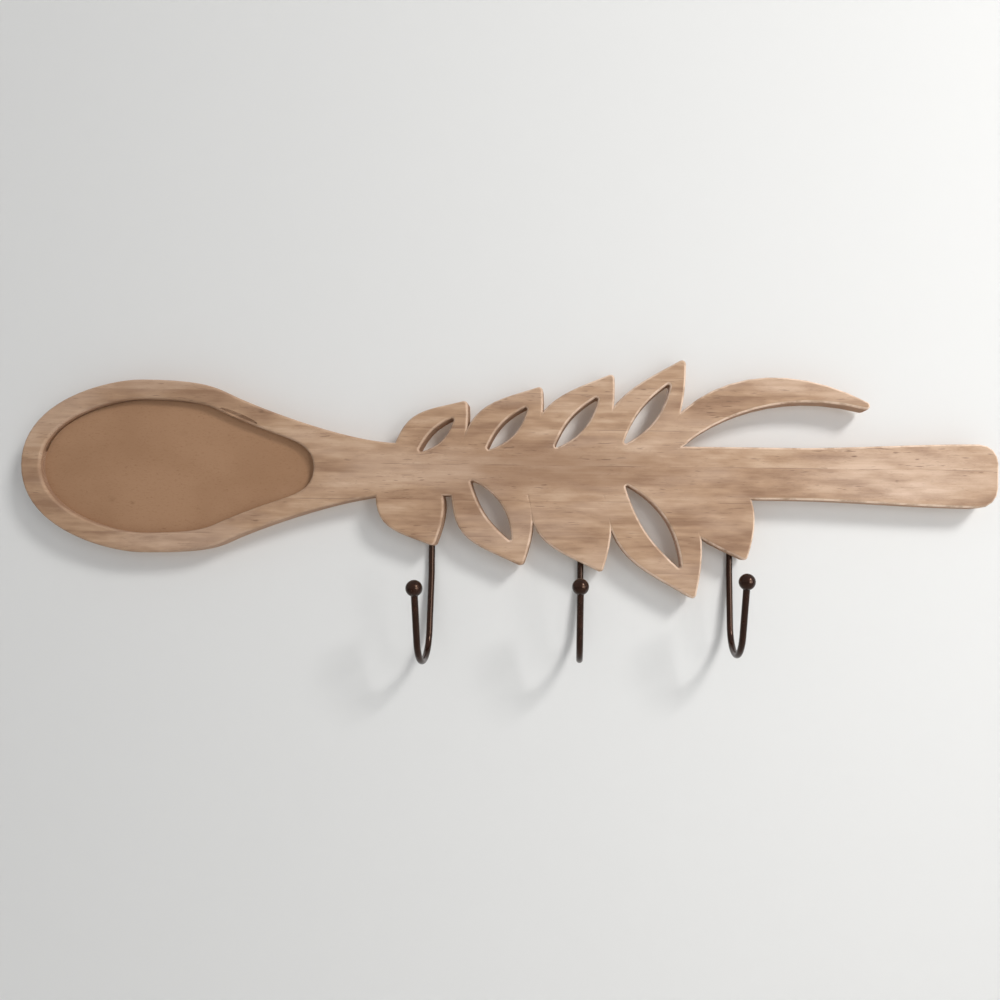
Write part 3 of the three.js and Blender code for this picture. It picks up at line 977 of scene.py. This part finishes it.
@dataclass(frozen=True)
class SatinBlack:
    """Black satin paint on wire, a little uneven, with a warm brown where it is thin.

    Attributes:
        body: Its colour.
        thin: Its colour where it is thin.
        gloss_tint: Tint of its gloss.
        gloss: Strength of its gloss.
        clouds: The thin places.
        peel: Its fine unevenness.
        thinned: How the thin places fade.
        roughness: Roughness, by the thin places.
        relief: How far the unevenness stands out, and how strongly that is lit.
    """

    body: Colour = srgb(24, 9, 6)
    thin: Colour = srgb(38, 17, 11)
    gloss_tint: Colour = srgb(255, 210, 184)
    gloss: float = 0.36
    clouds: Layer = Layer(5.0, 4.0, seed=0.4)
    peel: Layer = Layer(0.7, 0.6, seed=0.9)
    thinned: Ramp = (0.4, 0.75)
    roughness: Ramp = (0.3, 0.7, 0.16, 0.26)
    relief: tuple[float, float] = (0.02 * MM, 0.3)

    def build(self, effects: Effects) -> Material:
        """Make the material.

        Args:
            effects: The shared effects.

        Returns:
            The material.
        """
        ground = Ground("satin black", effects)
        graph = ground.graph
        clouds = ground.laid(effects.clouds, self.clouds)
        peel = ground.laid(effects.grain, self.peel)
        ground.shader.inputs["Specular Tint"].default_value = self.gloss_tint
        ground.shader.inputs["Specular IOR Level"].default_value = self.gloss
        colour = graph.mix(graph.ramp(clouds, *self.thinned), self.body, self.thin)
        return ground.dressed(colour, graph.ramp(clouds, *self.roughness), peel, self.relief)


@dataclass(frozen=True)
class ZincPlate:
    """Bright zinc plating with a faint cloudy tint.

    Attributes:
        body: Its colour.
        tint: Its colour in the tinted patches.
        clouds: The tinted patches.
        lines: Fine rolled lines.
        tinted: How the patches fade.
        roughness: Roughness, by the lines.
        relief: How far the lines stand out, and how strongly that is lit.
    """

    body: Colour = srgb(186, 188, 191)
    tint: Colour = srgb(173, 171, 161)
    clouds: Layer = Layer(3.0, 2.4, seed=0.6)
    lines: Layer = Layer(6.0, 0.2, seed=0.1)
    tinted: Ramp = (0.35, 0.7)
    roughness: Ramp = (0.3, 0.7, 0.26, 0.42)
    relief: tuple[float, float] = (0.02 * MM, 0.4)

    def build(self, effects: Effects) -> Material:
        """Make the material.

        Args:
            effects: The shared effects.

        Returns:
            The material.
        """
        ground = Ground("zinc plate", effects)
        graph = ground.graph
        clouds = ground.laid(effects.clouds, self.clouds)
        lines = ground.laid(effects.grain, self.lines)
        ground.shader.inputs["Metallic"].default_value = 1.0
        colour = graph.mix(graph.ramp(clouds, *self.tinted), self.body, self.tint)
        return ground.dressed(colour, graph.ramp(lines, *self.roughness), lines, self.relief)


@dataclass(frozen=True)
class Finishes:
    """The rack's four finishes."""

    wood: Material
    panel: Material
    black: Material
    zinc: Material


def make_finishes() -> Finishes:
    """Make the shared effects and the finishes that use them.

    Returns:
        The finishes.
    """
    effects = Effects(
        grain=grain_effect("fibres", length=60.0, width=1.0, detail=5.0, roughness=0.62),
        dashes=dashes_effect(),
        clouds=grain_effect("clouds", length=40.0, width=12.0, detail=2.5, roughness=0.55),
        edges=edges_effect(),
        mark=mark_effect(),
    )
    makers = (WashedWood(), Fibreboard(), SatinBlack(), ZincPlate())
    return Finishes(*(maker.build(effects) for maker in makers))


@dataclass
class Board:
    """The spoon with its sprig, and the panel in its bowl.

    Attributes:
        smooth_degrees: Edges sharper than this stay crisp.
        level: Faces whose normal has at least this share along Y count as flat to the front or the back.
        flat_angle: Neighbouring flat faces within this angle, in radians, are merged into one.
        nick_stations: Where along X the edges are nicked, with 1 for the upper edge and -1 for the lower.
        nick_size: Half length, half depth and half height of a nick.
        nick_sink: Depth of its middle under the front face.
        station_reach: How far along X the edge's height is looked for.
        splinter: Where a splinter came out of the recess's upper edge, along X and Z.
        splinter_slope: Fall of that edge, in radians.
        splinter_size: Half length, half depth and half height of the place it left.
        splinter_sink: Depth of the middle of that place under the front face.
    """

    smooth_degrees: float = 38.0
    level: float = 0.99999
    flat_angle: float = math.radians(0.05)
    nick_stations: tuple[tuple[float, int], ...] = (
        (-0.262, -1), (-0.128, 1), (0.157, -1), (0.243, -1), (0.268, 1)
    )
    nick_size: Vector = Vector((4.2 * MM, 0.9 * MM, 0.7 * MM))
    nick_sink: float = 0.3 * MM
    station_reach: float = 4 * MM
    splinter: tuple[float, float] = (-0.169, 0.0318)
    splinter_slope: float = math.radians(22)
    splinter_size: Vector = Vector((13 * MM, 1.5 * MM, 1.5 * MM))
    splinter_sink: float = 0.4 * MM

    def edge_height(self, board: Object, x: float, side: int) -> float:
        """The height of the outer edge at a station.

        Args:
            board: The board.
            x: Where the station is.
            side: 1 for the upper edge and -1 for the lower.

        Returns:
            The height.
        """
        places = (v.co for v in board.data.vertices)
        return side * max(side * p.z for p in places if abs(p.x - x) < self.station_reach and p.z * side > 0)

    def gouge(
        self, board: Object, place: tuple[float, float], sink: float, size: Vector, steps: int,
        slope: float = 0.0
    ) -> None:
        """Press an oval hollow into the front.

        Args:
            board: The board.
            place: The X and Z of its middle.
            sink: Depth of its middle under the front face.
            size: Its half length, half depth and half height.
            steps: How often its faces are divided.
            slope: Its fall along X, in radians.
        """
        front = min(v.co.y for v in board.data.vertices)
        cutter = start_piece(bpy.ops.mesh.primitive_ico_sphere_add, "cutter", subdivisions=steps, radius=1.0,
                             location=(place[0], front + sink, place[1]), rotation=(0, slope, 0), scale=size)
        combine(board, cutter, Solver.CUT)

    def build(self, finishes: Finishes) -> None:
        """Build the board and dress it and the panel.

        Args:
            finishes: The rack's finishes.
        """
        board = merged_copy("spoon_board", "board")
        for x, side in self.nick_stations:
            place = (x, self.edge_height(board, x, side))
            self.gouge(board, place, self.nick_sink, self.nick_size, steps=3)
        self.gouge(board, self.splinter, self.splinter_sink, self.splinter_size, steps=4,
                   slope=self.splinter_slope)
        with editing(board):
            choose(board, Part.FACE, lambda f: abs(f.normal.y) > self.level)
            bpy.ops.mesh.dissolve_limited(angle_limit=self.flat_angle)
        smooth(board, self.smooth_degrees)
        apply_modifier(board, "WEIGHTED_NORMAL", weight=100, keep_sharp=True)
        finish_piece(board, finishes.wood, "spoon_board")
        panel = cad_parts["bowl_panel"]
        panel.data.materials.clear()
        panel.data.materials.append(finishes.panel)
        log.info("bowl_panel: dressed")


@dataclass(frozen=True)
class Pin:
    """A round head on a straight shank with a point, which a screw and a nail are made from.

    Attributes:
        head_radius: Radius of the head.
        head_height: Height of the head.
        head_round: How much of that height is rounded off at the rim.
        round_steps: Steps of that rounding.
        shank_radius: Radius of the shank.
        length: Length from under the head to the tip.
        point_slope: Length of the point as a multiple of the shank's radius.
        tip: Width of the tip as a share of the shank's.
        sides: Sides of the head and shank.
        smooth_degrees: Edges sharper than this stay crisp.
    """

    head_radius: float
    head_height: float
    head_round: float
    round_steps: int
    shank_radius: float
    length: float
    point_slope: float
    tip: float
    sides: int
    smooth_degrees: float = 32.0

    def standing(self, name: str) -> Object:
        """The pin as it stands on its tip, with its seat at the origin.

        Args:
            name: The piece's name.

        Returns:
            The piece.
        """
        pin = start_piece(bpy.ops.mesh.primitive_cylinder_add, name, vertices=self.sides,
                          radius=self.head_radius, depth=self.head_height,
                          location=(0, 0, self.head_height / 2))
        point = self.point_slope * self.shank_radius
        with editing(pin):
            choose(pin, Part.EDGE, lambda e: all(v.co.z > self.head_height / 2 for v in e.verts))
            bpy.ops.mesh.bevel(offset=self.head_height * self.head_round, segments=self.round_steps,
                               affect="EDGES")
            choose(pin, Part.FACE, lambda f: f.normal.z < DOWNWARD)
            bpy.ops.mesh.inset(thickness=self.head_radius - self.shank_radius)
            extrude(Vector((0, 0, point - self.length)))
            extrude(Vector((0, 0, -point)))
            bpy.ops.transform.resize(value=(self.tip, self.tip, 1.0), center_override=(0, 0, -self.length))
        return pin

    def laid_down(self, pin: Object) -> Object:
        """Lay a standing pin along Y, with its head towards +Y, and shade it.

        Args:
            pin: The standing pin.

        Returns:
            The piece.
        """
        pin.rotation_euler.x = -math.pi / 2
        settle(pin)
        smooth(pin, self.smooth_degrees)
        return pin


@dataclass
class HookMasters:
    """The ball and the screw of a hook, made once at the origin and copied.

    Attributes:
        bore_radius: Radius of the ball's bore, a close fit on the wire.
        bore_offset: How far its drill stands off the ball's middle, as a share of the ball's radius.
        ball_degrees: Edges of the ball sharper than this stay crisp.
        blank: The screw without its thread and recess.
        crest_radius: Radius of the thread's crest.
        ridge_radius: Radius of the three-sided ridge that winds round as the thread.
        thread_pitch: Rise of the thread in one turn.
        thread_turns: Number of turns.
        recess_length: Length of each slot of the cross recess, as a share of the head's radius.
        recess_width: Width of each slot.
        recess_depth: Depth of the cross recess.
        recess_taper: Length and width of a slot at its floor, as shares of those at its mouth.
    """

    bore_radius: float = 2.03 * MM
    bore_offset: float = 0.97
    ball_degrees: float = 35.0
    blank: Pin = Pin(head_radius=3.2 * MM, head_height=2.0 * MM, head_round=0.62, round_steps=6,
                     shank_radius=1.05 * MM, length=9.5 * MM, point_slope=2.0, tip=0.06, sides=40)
    crest_radius: float = 1.5 * MM
    ridge_radius: float = 0.5 * MM
    thread_pitch: float = 1.2 * MM
    thread_turns: int = 5
    recess_length: float = 1.25
    recess_width: float = 0.95 * MM
    recess_depth: float = 1.3 * MM
    recess_taper: tuple[float, float] = (0.35, 0.6)

    def ball(self, along: Vector) -> Object:
        """A ball with a bore for the wire, as large as the box of its CAD ball.

        Args:
            along: The direction in which the wire runs into the ball.

        Returns:
            The ball.
        """
        low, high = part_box(f"hook_ball_{Side.LEFT.value}")
        radius = min(high - low) / 2
        ball = start_piece(bpy.ops.mesh.primitive_uv_sphere_add, "ball", segments=40, ring_count=24,
                           radius=radius)
        turn = along.to_track_quat("Z", "Y").to_euler()
        drill = start_piece(bpy.ops.mesh.primitive_cylinder_add, "drill", vertices=32,
                            radius=self.bore_radius, depth=2 * radius, rotation=turn,
                            location=-along * radius * self.bore_offset)
        combine(ball, drill, Solver.CUT)
        smooth(ball, self.ball_degrees)
        return ball

    def screw(self) -> Object:
        """A pan head wood screw that lies along Y, with its seat at the origin and its head towards +Y.

        Returns:
            The screw.
        """
        screw = self.blank.standing("screw")
        self.cut_cross(screw)
        combine(screw, self.thread(), Solver.JOIN)
        return self.blank.laid_down(screw)

    def cut_cross(self, screw: Object) -> None:
        """Cut the cross recess into the head.

        Args:
            screw: The standing screw.
        """
        length = self.blank.head_radius * self.recess_length
        for quarter in range(2):
            slot = start_piece(bpy.ops.mesh.primitive_cube_add, "slot", size=1.0,
                               location=(0, 0, self.blank.head_height),
                               scale=(length, self.recess_width, self.recess_depth * 2))
            with editing(slot):
                choose(slot, Part.FACE, lambda f: f.normal.z < DOWNWARD)
                bpy.ops.transform.resize(value=(*self.recess_taper, 1.0), center_override=(0, 0, 0))
            slot.rotation_euler.z = quarter * math.pi / 2
            combine(screw, settle(slot), Solver.CUT)

    def thread(self) -> Object:
        """The helical ridge of the thread.

        Returns:
            The ridge.
        """
        ridge = start_piece(bpy.ops.mesh.primitive_circle_add, "thread", vertices=3, radius=self.ridge_radius,
                            fill_type="NOTHING", rotation=(math.pi / 2, math.pi / 2, 0))
        with editing(ridge, select=True):
            reach = self.crest_radius - max(v.co.x for v in ridge.data.vertices)
            point = self.blank.point_slope * self.blank.shank_radius
            bpy.ops.transform.translate(value=(reach, 0, -self.blank.length + point + self.thread_pitch / 2))
        apply_modifier(ridge, "SCREW", axis="Z", angle=2 * math.pi, screw_offset=self.thread_pitch,
                       iterations=self.thread_turns, steps=20, render_steps=20)
        with editing(ridge, select=True):
            bpy.ops.mesh.remove_doubles(threshold=HAIR)
            bpy.ops.mesh.fill_holes(sides=3)
            bpy.ops.mesh.normals_make_consistent(inside=False)
        return ridge


@dataclass
class Hook:
    """One hook: a wire bent from a flattened end down behind the board and forward and up in front, a ball,
    and two screws.

    Attributes:
        side: Where the hook is.
        wire_radius: Radius of the wire.
        stand_off: Gap between the wire and the board.
        flat_thickness: Thickness of the flattened end.
        flat_length: Length of the flattened end, without its taper.
        flat_steps: Steps of the rounding at its top.
        flat_tip: Half width that is left of it at the very top.
        taper_length: Length over which the flat runs out into the round wire.
        hole_radius: Radius of a screw hole.
        straight_length: Length from the top to where the shank starts to lean forward.
        lean: Lean of the shank, in radians.
        lean_radius: Radius of the bend into the lean.
        lean_steps: Steps of that bend.
        bend_radius: Radius of the bend at the bottom.
        bend_steps: Steps of that bend.
        flare: Lean of the front leg, in radians.
        sides: Sides of the wire.
        smooth_degrees: Edges sharper than this stay crisp.
        screw_turn: Turn of a lower screw against the upper one, in radians.
        place_turn: Turn of a hook's screws for each millimetre along the rack, in radians.
    """

    side: Side
    wire_radius: float = 2 * MM
    stand_off: float = 0.3 * MM
    flat_thickness: float = 1.6 * MM
    flat_length: float = 23 * MM
    flat_steps: int = 8
    flat_tip: float = 0.02 * MM
    taper_length: float = 10 * MM
    hole_radius: float = 1.8 * MM
    straight_length: float = 70.5 * MM
    lean: float = math.radians(8)
    lean_radius: float = 30 * MM
    lean_steps: int = 4
    bend_radius: float = 19 * MM
    bend_steps: int = 28
    flare: float = math.radians(16)
    sides: int = 24
    smooth_degrees: float = 40.0
    screw_turn: float = 0.9
    place_turn: float = 1.7

    def __post_init__(self) -> None:
        """Read the hook's places from the frame."""
        low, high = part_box(f"hook_wire_{self.side.value}")
        ball_low, ball_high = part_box(f"hook_ball_{self.side.value}")
        self.x = (low.x + high.x) / 2
        self.top = high.z
        self.bottom = low.z + self.wire_radius
        self.flat_width = high.x - low.x
        self.ball_place = (ball_low + ball_high) / 2
        self.shank_y = self.stand_off + self.wire_radius
        self.lean_start = self.top - self.straight_length
        self.leg_direction = Vector((0, -math.sin(self.flare), math.cos(self.flare)))

    def wire(self) -> Object:
        """The bent wire with its flattened end.

        Returns:
            The wire.
        """
        round_start = self.top - self.flat_length - self.taper_length
        wire = start_piece(bpy.ops.mesh.primitive_circle_add, "wire", vertices=self.sides,
                           radius=self.wire_radius, fill_type="NOTHING",
                           location=(self.x, self.shank_y, round_start))
        flat = self.flat_end()
        with editing(wire, select=True):
            extrude(Vector((0, 0, self.lean_start - round_start)))
            centre = Vector((self.x, self.shank_y - self.lean_radius, self.lean_start))
            self.turn(centre, self.lean, self.lean_steps)
            start_y, start_z = self.end_of(wire)
            drop = start_z - (self.bottom + self.bend_radius * (1 - math.sin(self.lean)))
            extrude(Vector((0, -drop * math.tan(self.lean), -drop)))
            start_y -= drop * math.tan(self.lean)
            centre_y = start_y - self.bend_radius * math.cos(self.lean)
            centre = Vector((self.x, centre_y, self.bottom + self.bend_radius))
            self.turn(centre, math.pi - self.lean - self.flare, self.bend_steps)
            rise = self.ball_place.z - self.end_of(wire)[1]
            extrude(self.leg_direction * (rise / self.leg_direction.z))
            bpy.ops.mesh.edge_face_add()
        return self.joined(wire, flat)

    def joined(self, wire: Object, flat: Object) -> Object:
        """Bridge the wire and its flattened end by the taper between them.

        Args:
            wire: The wire.
            flat: The flattened end.

        Returns:
            The whole wire.
        """
        activate(wire)
        flat.select_set(True)
        bpy.ops.object.join()
        with editing(wire):
            choose(wire, Part.EDGE, lambda e: e.is_boundary)
            bpy.ops.mesh.bridge_edge_loops(number_cuts=6, interpolation="PATH", smoothness=0.6)
            bpy.ops.mesh.select_all(action="SELECT")
            bpy.ops.mesh.normals_make_consistent(inside=False)
        return wire

    def turn(self, centre: Vector, angle: float, steps: int) -> None:
        """Draw the end of the wire round a bend towards the front."""
        bpy.ops.mesh.spin(steps=steps, angle=angle, center=centre, axis=(1, 0, 0))

    def end_of(self, wire: Object) -> tuple[float, float]:
        """The middle of the selected ring.

        Args:
            wire: The wire in edit mode.

        Returns:
            Its Y and its Z.
        """
        ends = [v.co for v in bmesh.from_edit_mesh(wire.data).verts if v.select]
        middle = sum(ends, Vector()) / len(ends)
        return middle.y, middle.z

    def flat_end(self) -> Object:
        """The flattened end, open at its lower side.

        Returns:
            The flattened end.
        """
        half_thickness = self.flat_thickness / 2
        spread = self.flat_width / 2 - half_thickness
        flat_bottom = self.top - self.flat_length
        flat = start_piece(bpy.ops.mesh.primitive_circle_add, "flat", vertices=self.sides,
                           radius=half_thickness, fill_type="NOTHING",
                           location=(self.x, half_thickness, flat_bottom))
        with editing(flat):
            for direction in (-1, 1):
                choose(flat, Part.VERT, lambda v, d=direction: (v.co.x - self.x) * d > HAIR)
                bpy.ops.transform.translate(value=(direction * spread, 0, 0))
            bpy.ops.mesh.select_all(action="SELECT")
            half_width = self.flat_width / 2
            extrude(Vector((0, 0, self.flat_length - half_width)))
            rise, width = 0.0, half_width
            for step in range(1, self.flat_steps + 1):
                angle = math.pi / 2 * step / self.flat_steps
                new_rise, new_width = half_width * math.sin(angle), half_width * math.cos(angle)
                new_width = max(new_width, self.flat_tip)
                extrude(Vector((0, 0, new_rise - rise)))
                bpy.ops.transform.resize(value=(new_width / width, 1, 1), center_override=(self.x, 0, 0))
                rise, width = new_rise, new_width
            bpy.ops.mesh.edge_face_add()
        return flat

    def screw_height(self, row: Row) -> float:
        """The height of one of the hook's screws."""
        low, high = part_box(f"hook_screw_{self.side.value}_{row.value}")
        return (low.z + high.z) / 2

    def drill(self, wire: Object) -> None:
        """Drill the two screw holes.

        Args:
            wire: The wire.
        """
        for row in Row:
            place = (self.x, self.flat_thickness / 2, self.screw_height(row))
            bit = start_piece(bpy.ops.mesh.primitive_cylinder_add, "bit", vertices=32,
                              radius=self.hole_radius, depth=4 * self.flat_thickness, location=place,
                              rotation=(math.pi / 2, 0, 0))
            combine(wire, bit, Solver.CUT)

    def build(self, masters: tuple[Object, Object], finishes: Finishes) -> None:
        """Build and dress the wire, the ball and the two screws.

        Args:
            masters: The ball and the screw to copy.
            finishes: The rack's finishes.
        """
        ball_master, screw_master = masters
        side = self.side.value
        wire = named(self.wire(), f"{side}_hook_wire")
        self.drill(wire)
        smooth(wire, self.smooth_degrees)
        finish_piece(wire, finishes.black, f"hook_wire_{side}")
        ball = copied(ball_master, f"{side}_hook_ball", self.ball_place)
        finish_piece(ball, finishes.black, f"hook_ball_{side}")
        for number, row in enumerate(Row):
            seat = Vector((self.x, self.flat_thickness, self.screw_height(row)))
            turn = self.screw_turn * number + self.place_turn * self.x / MM
            screw = copied(screw_master, f"{side}_hook_{row.value}_screw", seat, turn)
            finish_piece(screw, finishes.zinc, f"hook_screw_{side}_{row.value}")


@dataclass
class Hanger:
    """A sawtooth hanger and its two nails.

    Attributes:
        side: Where the hanger is.
        sheet: Thickness of its sheet.
        edge: Width of the softened edges of the sheet.
        flat_degrees: Neighbouring faces of the sheet within this angle are merged into one.
        edge_degrees: Edges of the sheet sharper than this are softened.
        smooth_degrees: Edges sharper than this stay crisp.
        nail: One nail.
    """

    side: Side
    sheet: float = 0.8 * MM
    edge: float = 0.12 * MM
    flat_degrees: float = 1.0
    edge_degrees: float = 40.0
    smooth_degrees: float = 30.0
    nail: Pin = Pin(head_radius=1.8 * MM, head_height=0.8 * MM, head_round=0.55, round_steps=4,
                    shank_radius=0.75 * MM, length=8 * MM, point_slope=3.0, tip=0.05, sides=28)

    def build(self, finishes: Finishes) -> None:
        """Build and dress the sheet and its nails.

        Args:
            finishes: The rack's finishes.
        """
        side = self.side.value
        sheet = merged_copy(f"hanger_{side}", f"{side}_hanger")
        with editing(sheet, select=True):
            bpy.ops.mesh.dissolve_limited(angle_limit=math.radians(self.flat_degrees))
        apply_modifier(sheet, "BEVEL", width=self.edge, segments=2, limit_method="ANGLE",
                       angle_limit=math.radians(self.edge_degrees))
        smooth(sheet, self.smooth_degrees)
        finish_piece(sheet, finishes.zinc, f"hanger_{side}")
        master = self.nail.laid_down(self.nail.standing("nail"))
        for letter in "ab":
            low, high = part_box(f"hanger_nail_{side}_{letter}")
            seat = Vector(((low.x + high.x) / 2, self.sheet, (low.z + high.z) / 2))
            nail = copied(master, f"{side}_hanger_nail_{letter}", seat)
            finish_piece(nail, finishes.zinc, f"hanger_nail_{side}_{letter}")
        bpy.data.objects.remove(master)


@dataclass(frozen=True)
class Lamp:
    """A soft lamp.

    Attributes:
        name: Its name.
        place: Where it stands.
        width: Its width.
        height: Its height.
        watts: Its power.
        colour: Its colour.
        gloss_only: True if it shows only as a mirrored light line.
    """

    name: str
    place: Vector
    width: float
    height: float
    watts: float
    colour: Colour = srgb(255, 254, 252)
    gloss_only: bool = False

    def build(self, target: Vector) -> None:
        """Add the lamp.

        Args:
            target: What it points at.
        """
        light = bpy.data.lights.new(self.name, "AREA")
        light.shape = "RECTANGLE"
        light.size, light.size_y = self.width, self.height
        light.energy = self.watts
        light.color = self.colour[:3]
        lamp = bpy.data.objects.new(self.name, light)
        lamp.location = self.place
        lamp.rotation_euler = (target - self.place).to_track_quat("-Z", "Y").to_euler()
        lamp.visible_diffuse = not self.gloss_only
        bpy.context.scene.collection.objects.link(lamp)


@dataclass
class Studio:
    """Camera, light, wall and floor.

    Attributes:
        distance: From the camera to the front of the board.
        opposite: The point of the board that the camera looks at squarely, as its X and Z.
        sensor: Width of the camera's sensor, in its own millimetres.
        focal_pixels: Focal length in pixels of a picture that is 1000 wide.
        picture: Width of the picture in pixels.
        centre: Where that point lies in the picture, in pixels from its left and top.
        roll: Turn of the camera about its view, in radians.
        wall_gap: Gap between the hook wires and the wall.
        wall_size: Width and height of the wall.
        floor_size: Width and depth of the floor.
        floor_height: Height of the floor.
        paint_roughness: Roughness of the paint on both.
        wall_colour: Paint of the wall.
        floor_colour: Paint of the floor.
        world_colour: Colour of the light from all round.
        world_light: Strength of that light.
        world_seen: Strength of the surroundings where they are seen directly or mirrored.
        aim: What the lamps point at.
        lamps: The lamps.
    """

    distance: float = 0.460
    opposite: tuple[float, float] = (0.0425, -0.051)
    sensor: float = 36.0
    focal_pixels: float = 739.0
    picture: float = 1000.0
    centre: tuple[float, float] = (576.8, 552.9)
    roll: float = math.radians(0.72)
    wall_gap: float = 0.3 * MM
    wall_size: float = 6.0
    floor_size: float = 8.0
    floor_height: float = -0.36
    paint_roughness: float = 0.9
    wall_colour: Colour = srgb(226, 226, 225)
    floor_colour: Colour = srgb(206, 206, 205)
    world_colour: Colour = srgb(252, 253, 255)
    world_light: float = 0.47
    world_seen: float = 0.8
    aim: Vector = Vector((0, 0, -0.02))
    lamps: tuple[Lamp, ...] = (
        Lamp("key", Vector((1.0, -1.0, 0.85)), 0.35, 0.35, 15.0),
        Lamp("strip", Vector((0.45, -0.68, -0.01)), 0.2, 0.36, 1.1),
        Lamp("gleam", Vector((0.62, -0.55, -0.01)), 0.45, 0.4, 3.0, gloss_only=True),
        Lamp("back fill", Vector((-0.5, 1.2, 0.6)), 0.9, 0.9, 11.0, srgb(254, 254, 255)),
    )

    def camera(self) -> None:
        """Place the camera."""
        lens = bpy.data.cameras.new("camera")
        lens.sensor_width = self.sensor
        lens.lens = self.focal_pixels / self.picture * lens.sensor_width
        lens.shift_x = (self.picture / 2 - self.centre[0]) / self.picture
        lens.shift_y = (self.centre[1] - self.picture / 2) / self.picture
        camera = bpy.data.objects.new("camera", lens)
        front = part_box("spoon_board")[0].y
        camera.matrix_world = (
            Matrix.Translation((self.opposite[0], front - self.distance, self.opposite[1]))
            @ Matrix.Rotation(math.pi / 2, 4, "X")
            @ Matrix.Rotation(self.roll, 4, "Z")
        )
        bpy.context.scene.collection.objects.link(camera)
        bpy.context.scene.camera = camera

    def paint(self, name: str, colour: Colour, see_through: bool) -> Material:
        """Plain matt paint, which can be clear from behind.

        Args:
            name: The material's name.
            colour: Its colour.
            see_through: True if it is clear from behind.

        Returns:
            The material.
        """
        material, graph, shader = new_material(name)
        shader.inputs["Base Color"].default_value = colour
        shader.inputs["Roughness"].default_value = self.paint_roughness
        if see_through:
            behind = graph.node("ShaderNodeNewGeometry").outputs["Backfacing"]
            clear = graph.node("ShaderNodeBsdfTransparent").outputs[0]
            sockets = {0: behind, 1: shader.outputs[0], 2: clear}
            exit_ = next(n for n in material.node_tree.nodes if n.type == "OUTPUT_MATERIAL")
            graph.feed(exit_.inputs["Surface"], graph.node("ShaderNodeMixShader", sockets).outputs[0])
        return material

    def surroundings(self) -> None:
        """Add the wall and the floor."""
        middle = (0, cad_high.y + self.wall_gap, self.floor_height + self.wall_size / 2)
        wall = start_piece(bpy.ops.mesh.primitive_plane_add, "wall", size=self.wall_size,
                           rotation=(math.pi / 2, 0, 0), location=middle)
        wall.data.materials.append(self.paint("wall paint", self.wall_colour, True))
        wall.visible_shadow = False
        floor = start_piece(bpy.ops.mesh.primitive_plane_add, "floor", size=self.floor_size,
                            location=(0, 0, self.floor_height))
        floor.data.materials.append(self.paint("floor paint", self.floor_colour, False))

    def world(self) -> None:
        """Pale light from all round."""
        world = bpy.data.worlds.new("studio")
        world.use_nodes = True
        shader = next(n for n in world.node_tree.nodes if n.type == "BACKGROUND")
        shader.inputs["Color"].default_value = self.world_colour
        graph = Graph(world.node_tree)
        rays = graph.node("ShaderNodeLightPath").outputs
        seen = graph.larger(rays["Is Camera Ray"], rays["Is Glossy Ray"])
        seen = graph.larger(seen, rays["Is Transmission Ray"])
        strength = graph.math("MULTIPLY_ADD", seen, self.world_seen - self.world_light, self.world_light)
        graph.feed(shader.inputs["Strength"], strength)
        bpy.context.scene.world = world

    def build(self) -> None:
        """Set the stage."""
        self.camera()
        self.surroundings()
        self.world()
        for lamp in self.lamps:
            lamp.build(self.aim)
        bpy.context.scene.view_settings.view_transform = "Standard"


def main() -> None:
    """Build the rack, piece by piece, and its stage."""
    logging.basicConfig(level=logging.INFO, format="%(name)s: %(message)s")
    finishes = make_finishes()
    Studio().build()
    Board().build(finishes)
    hooks = [Hook(side) for side in Side]
    masters = HookMasters()
    ball, screw = masters.ball(hooks[0].leg_direction), masters.screw()
    for hook in hooks:
        hook.build((ball, screw), finishes)
    for master in (ball, screw):
        bpy.data.objects.remove(master)
    for side in (Side.LEFT, Side.RIGHT):
        Hanger(side).build(finishes)


if __name__ == "__main__":
    main()
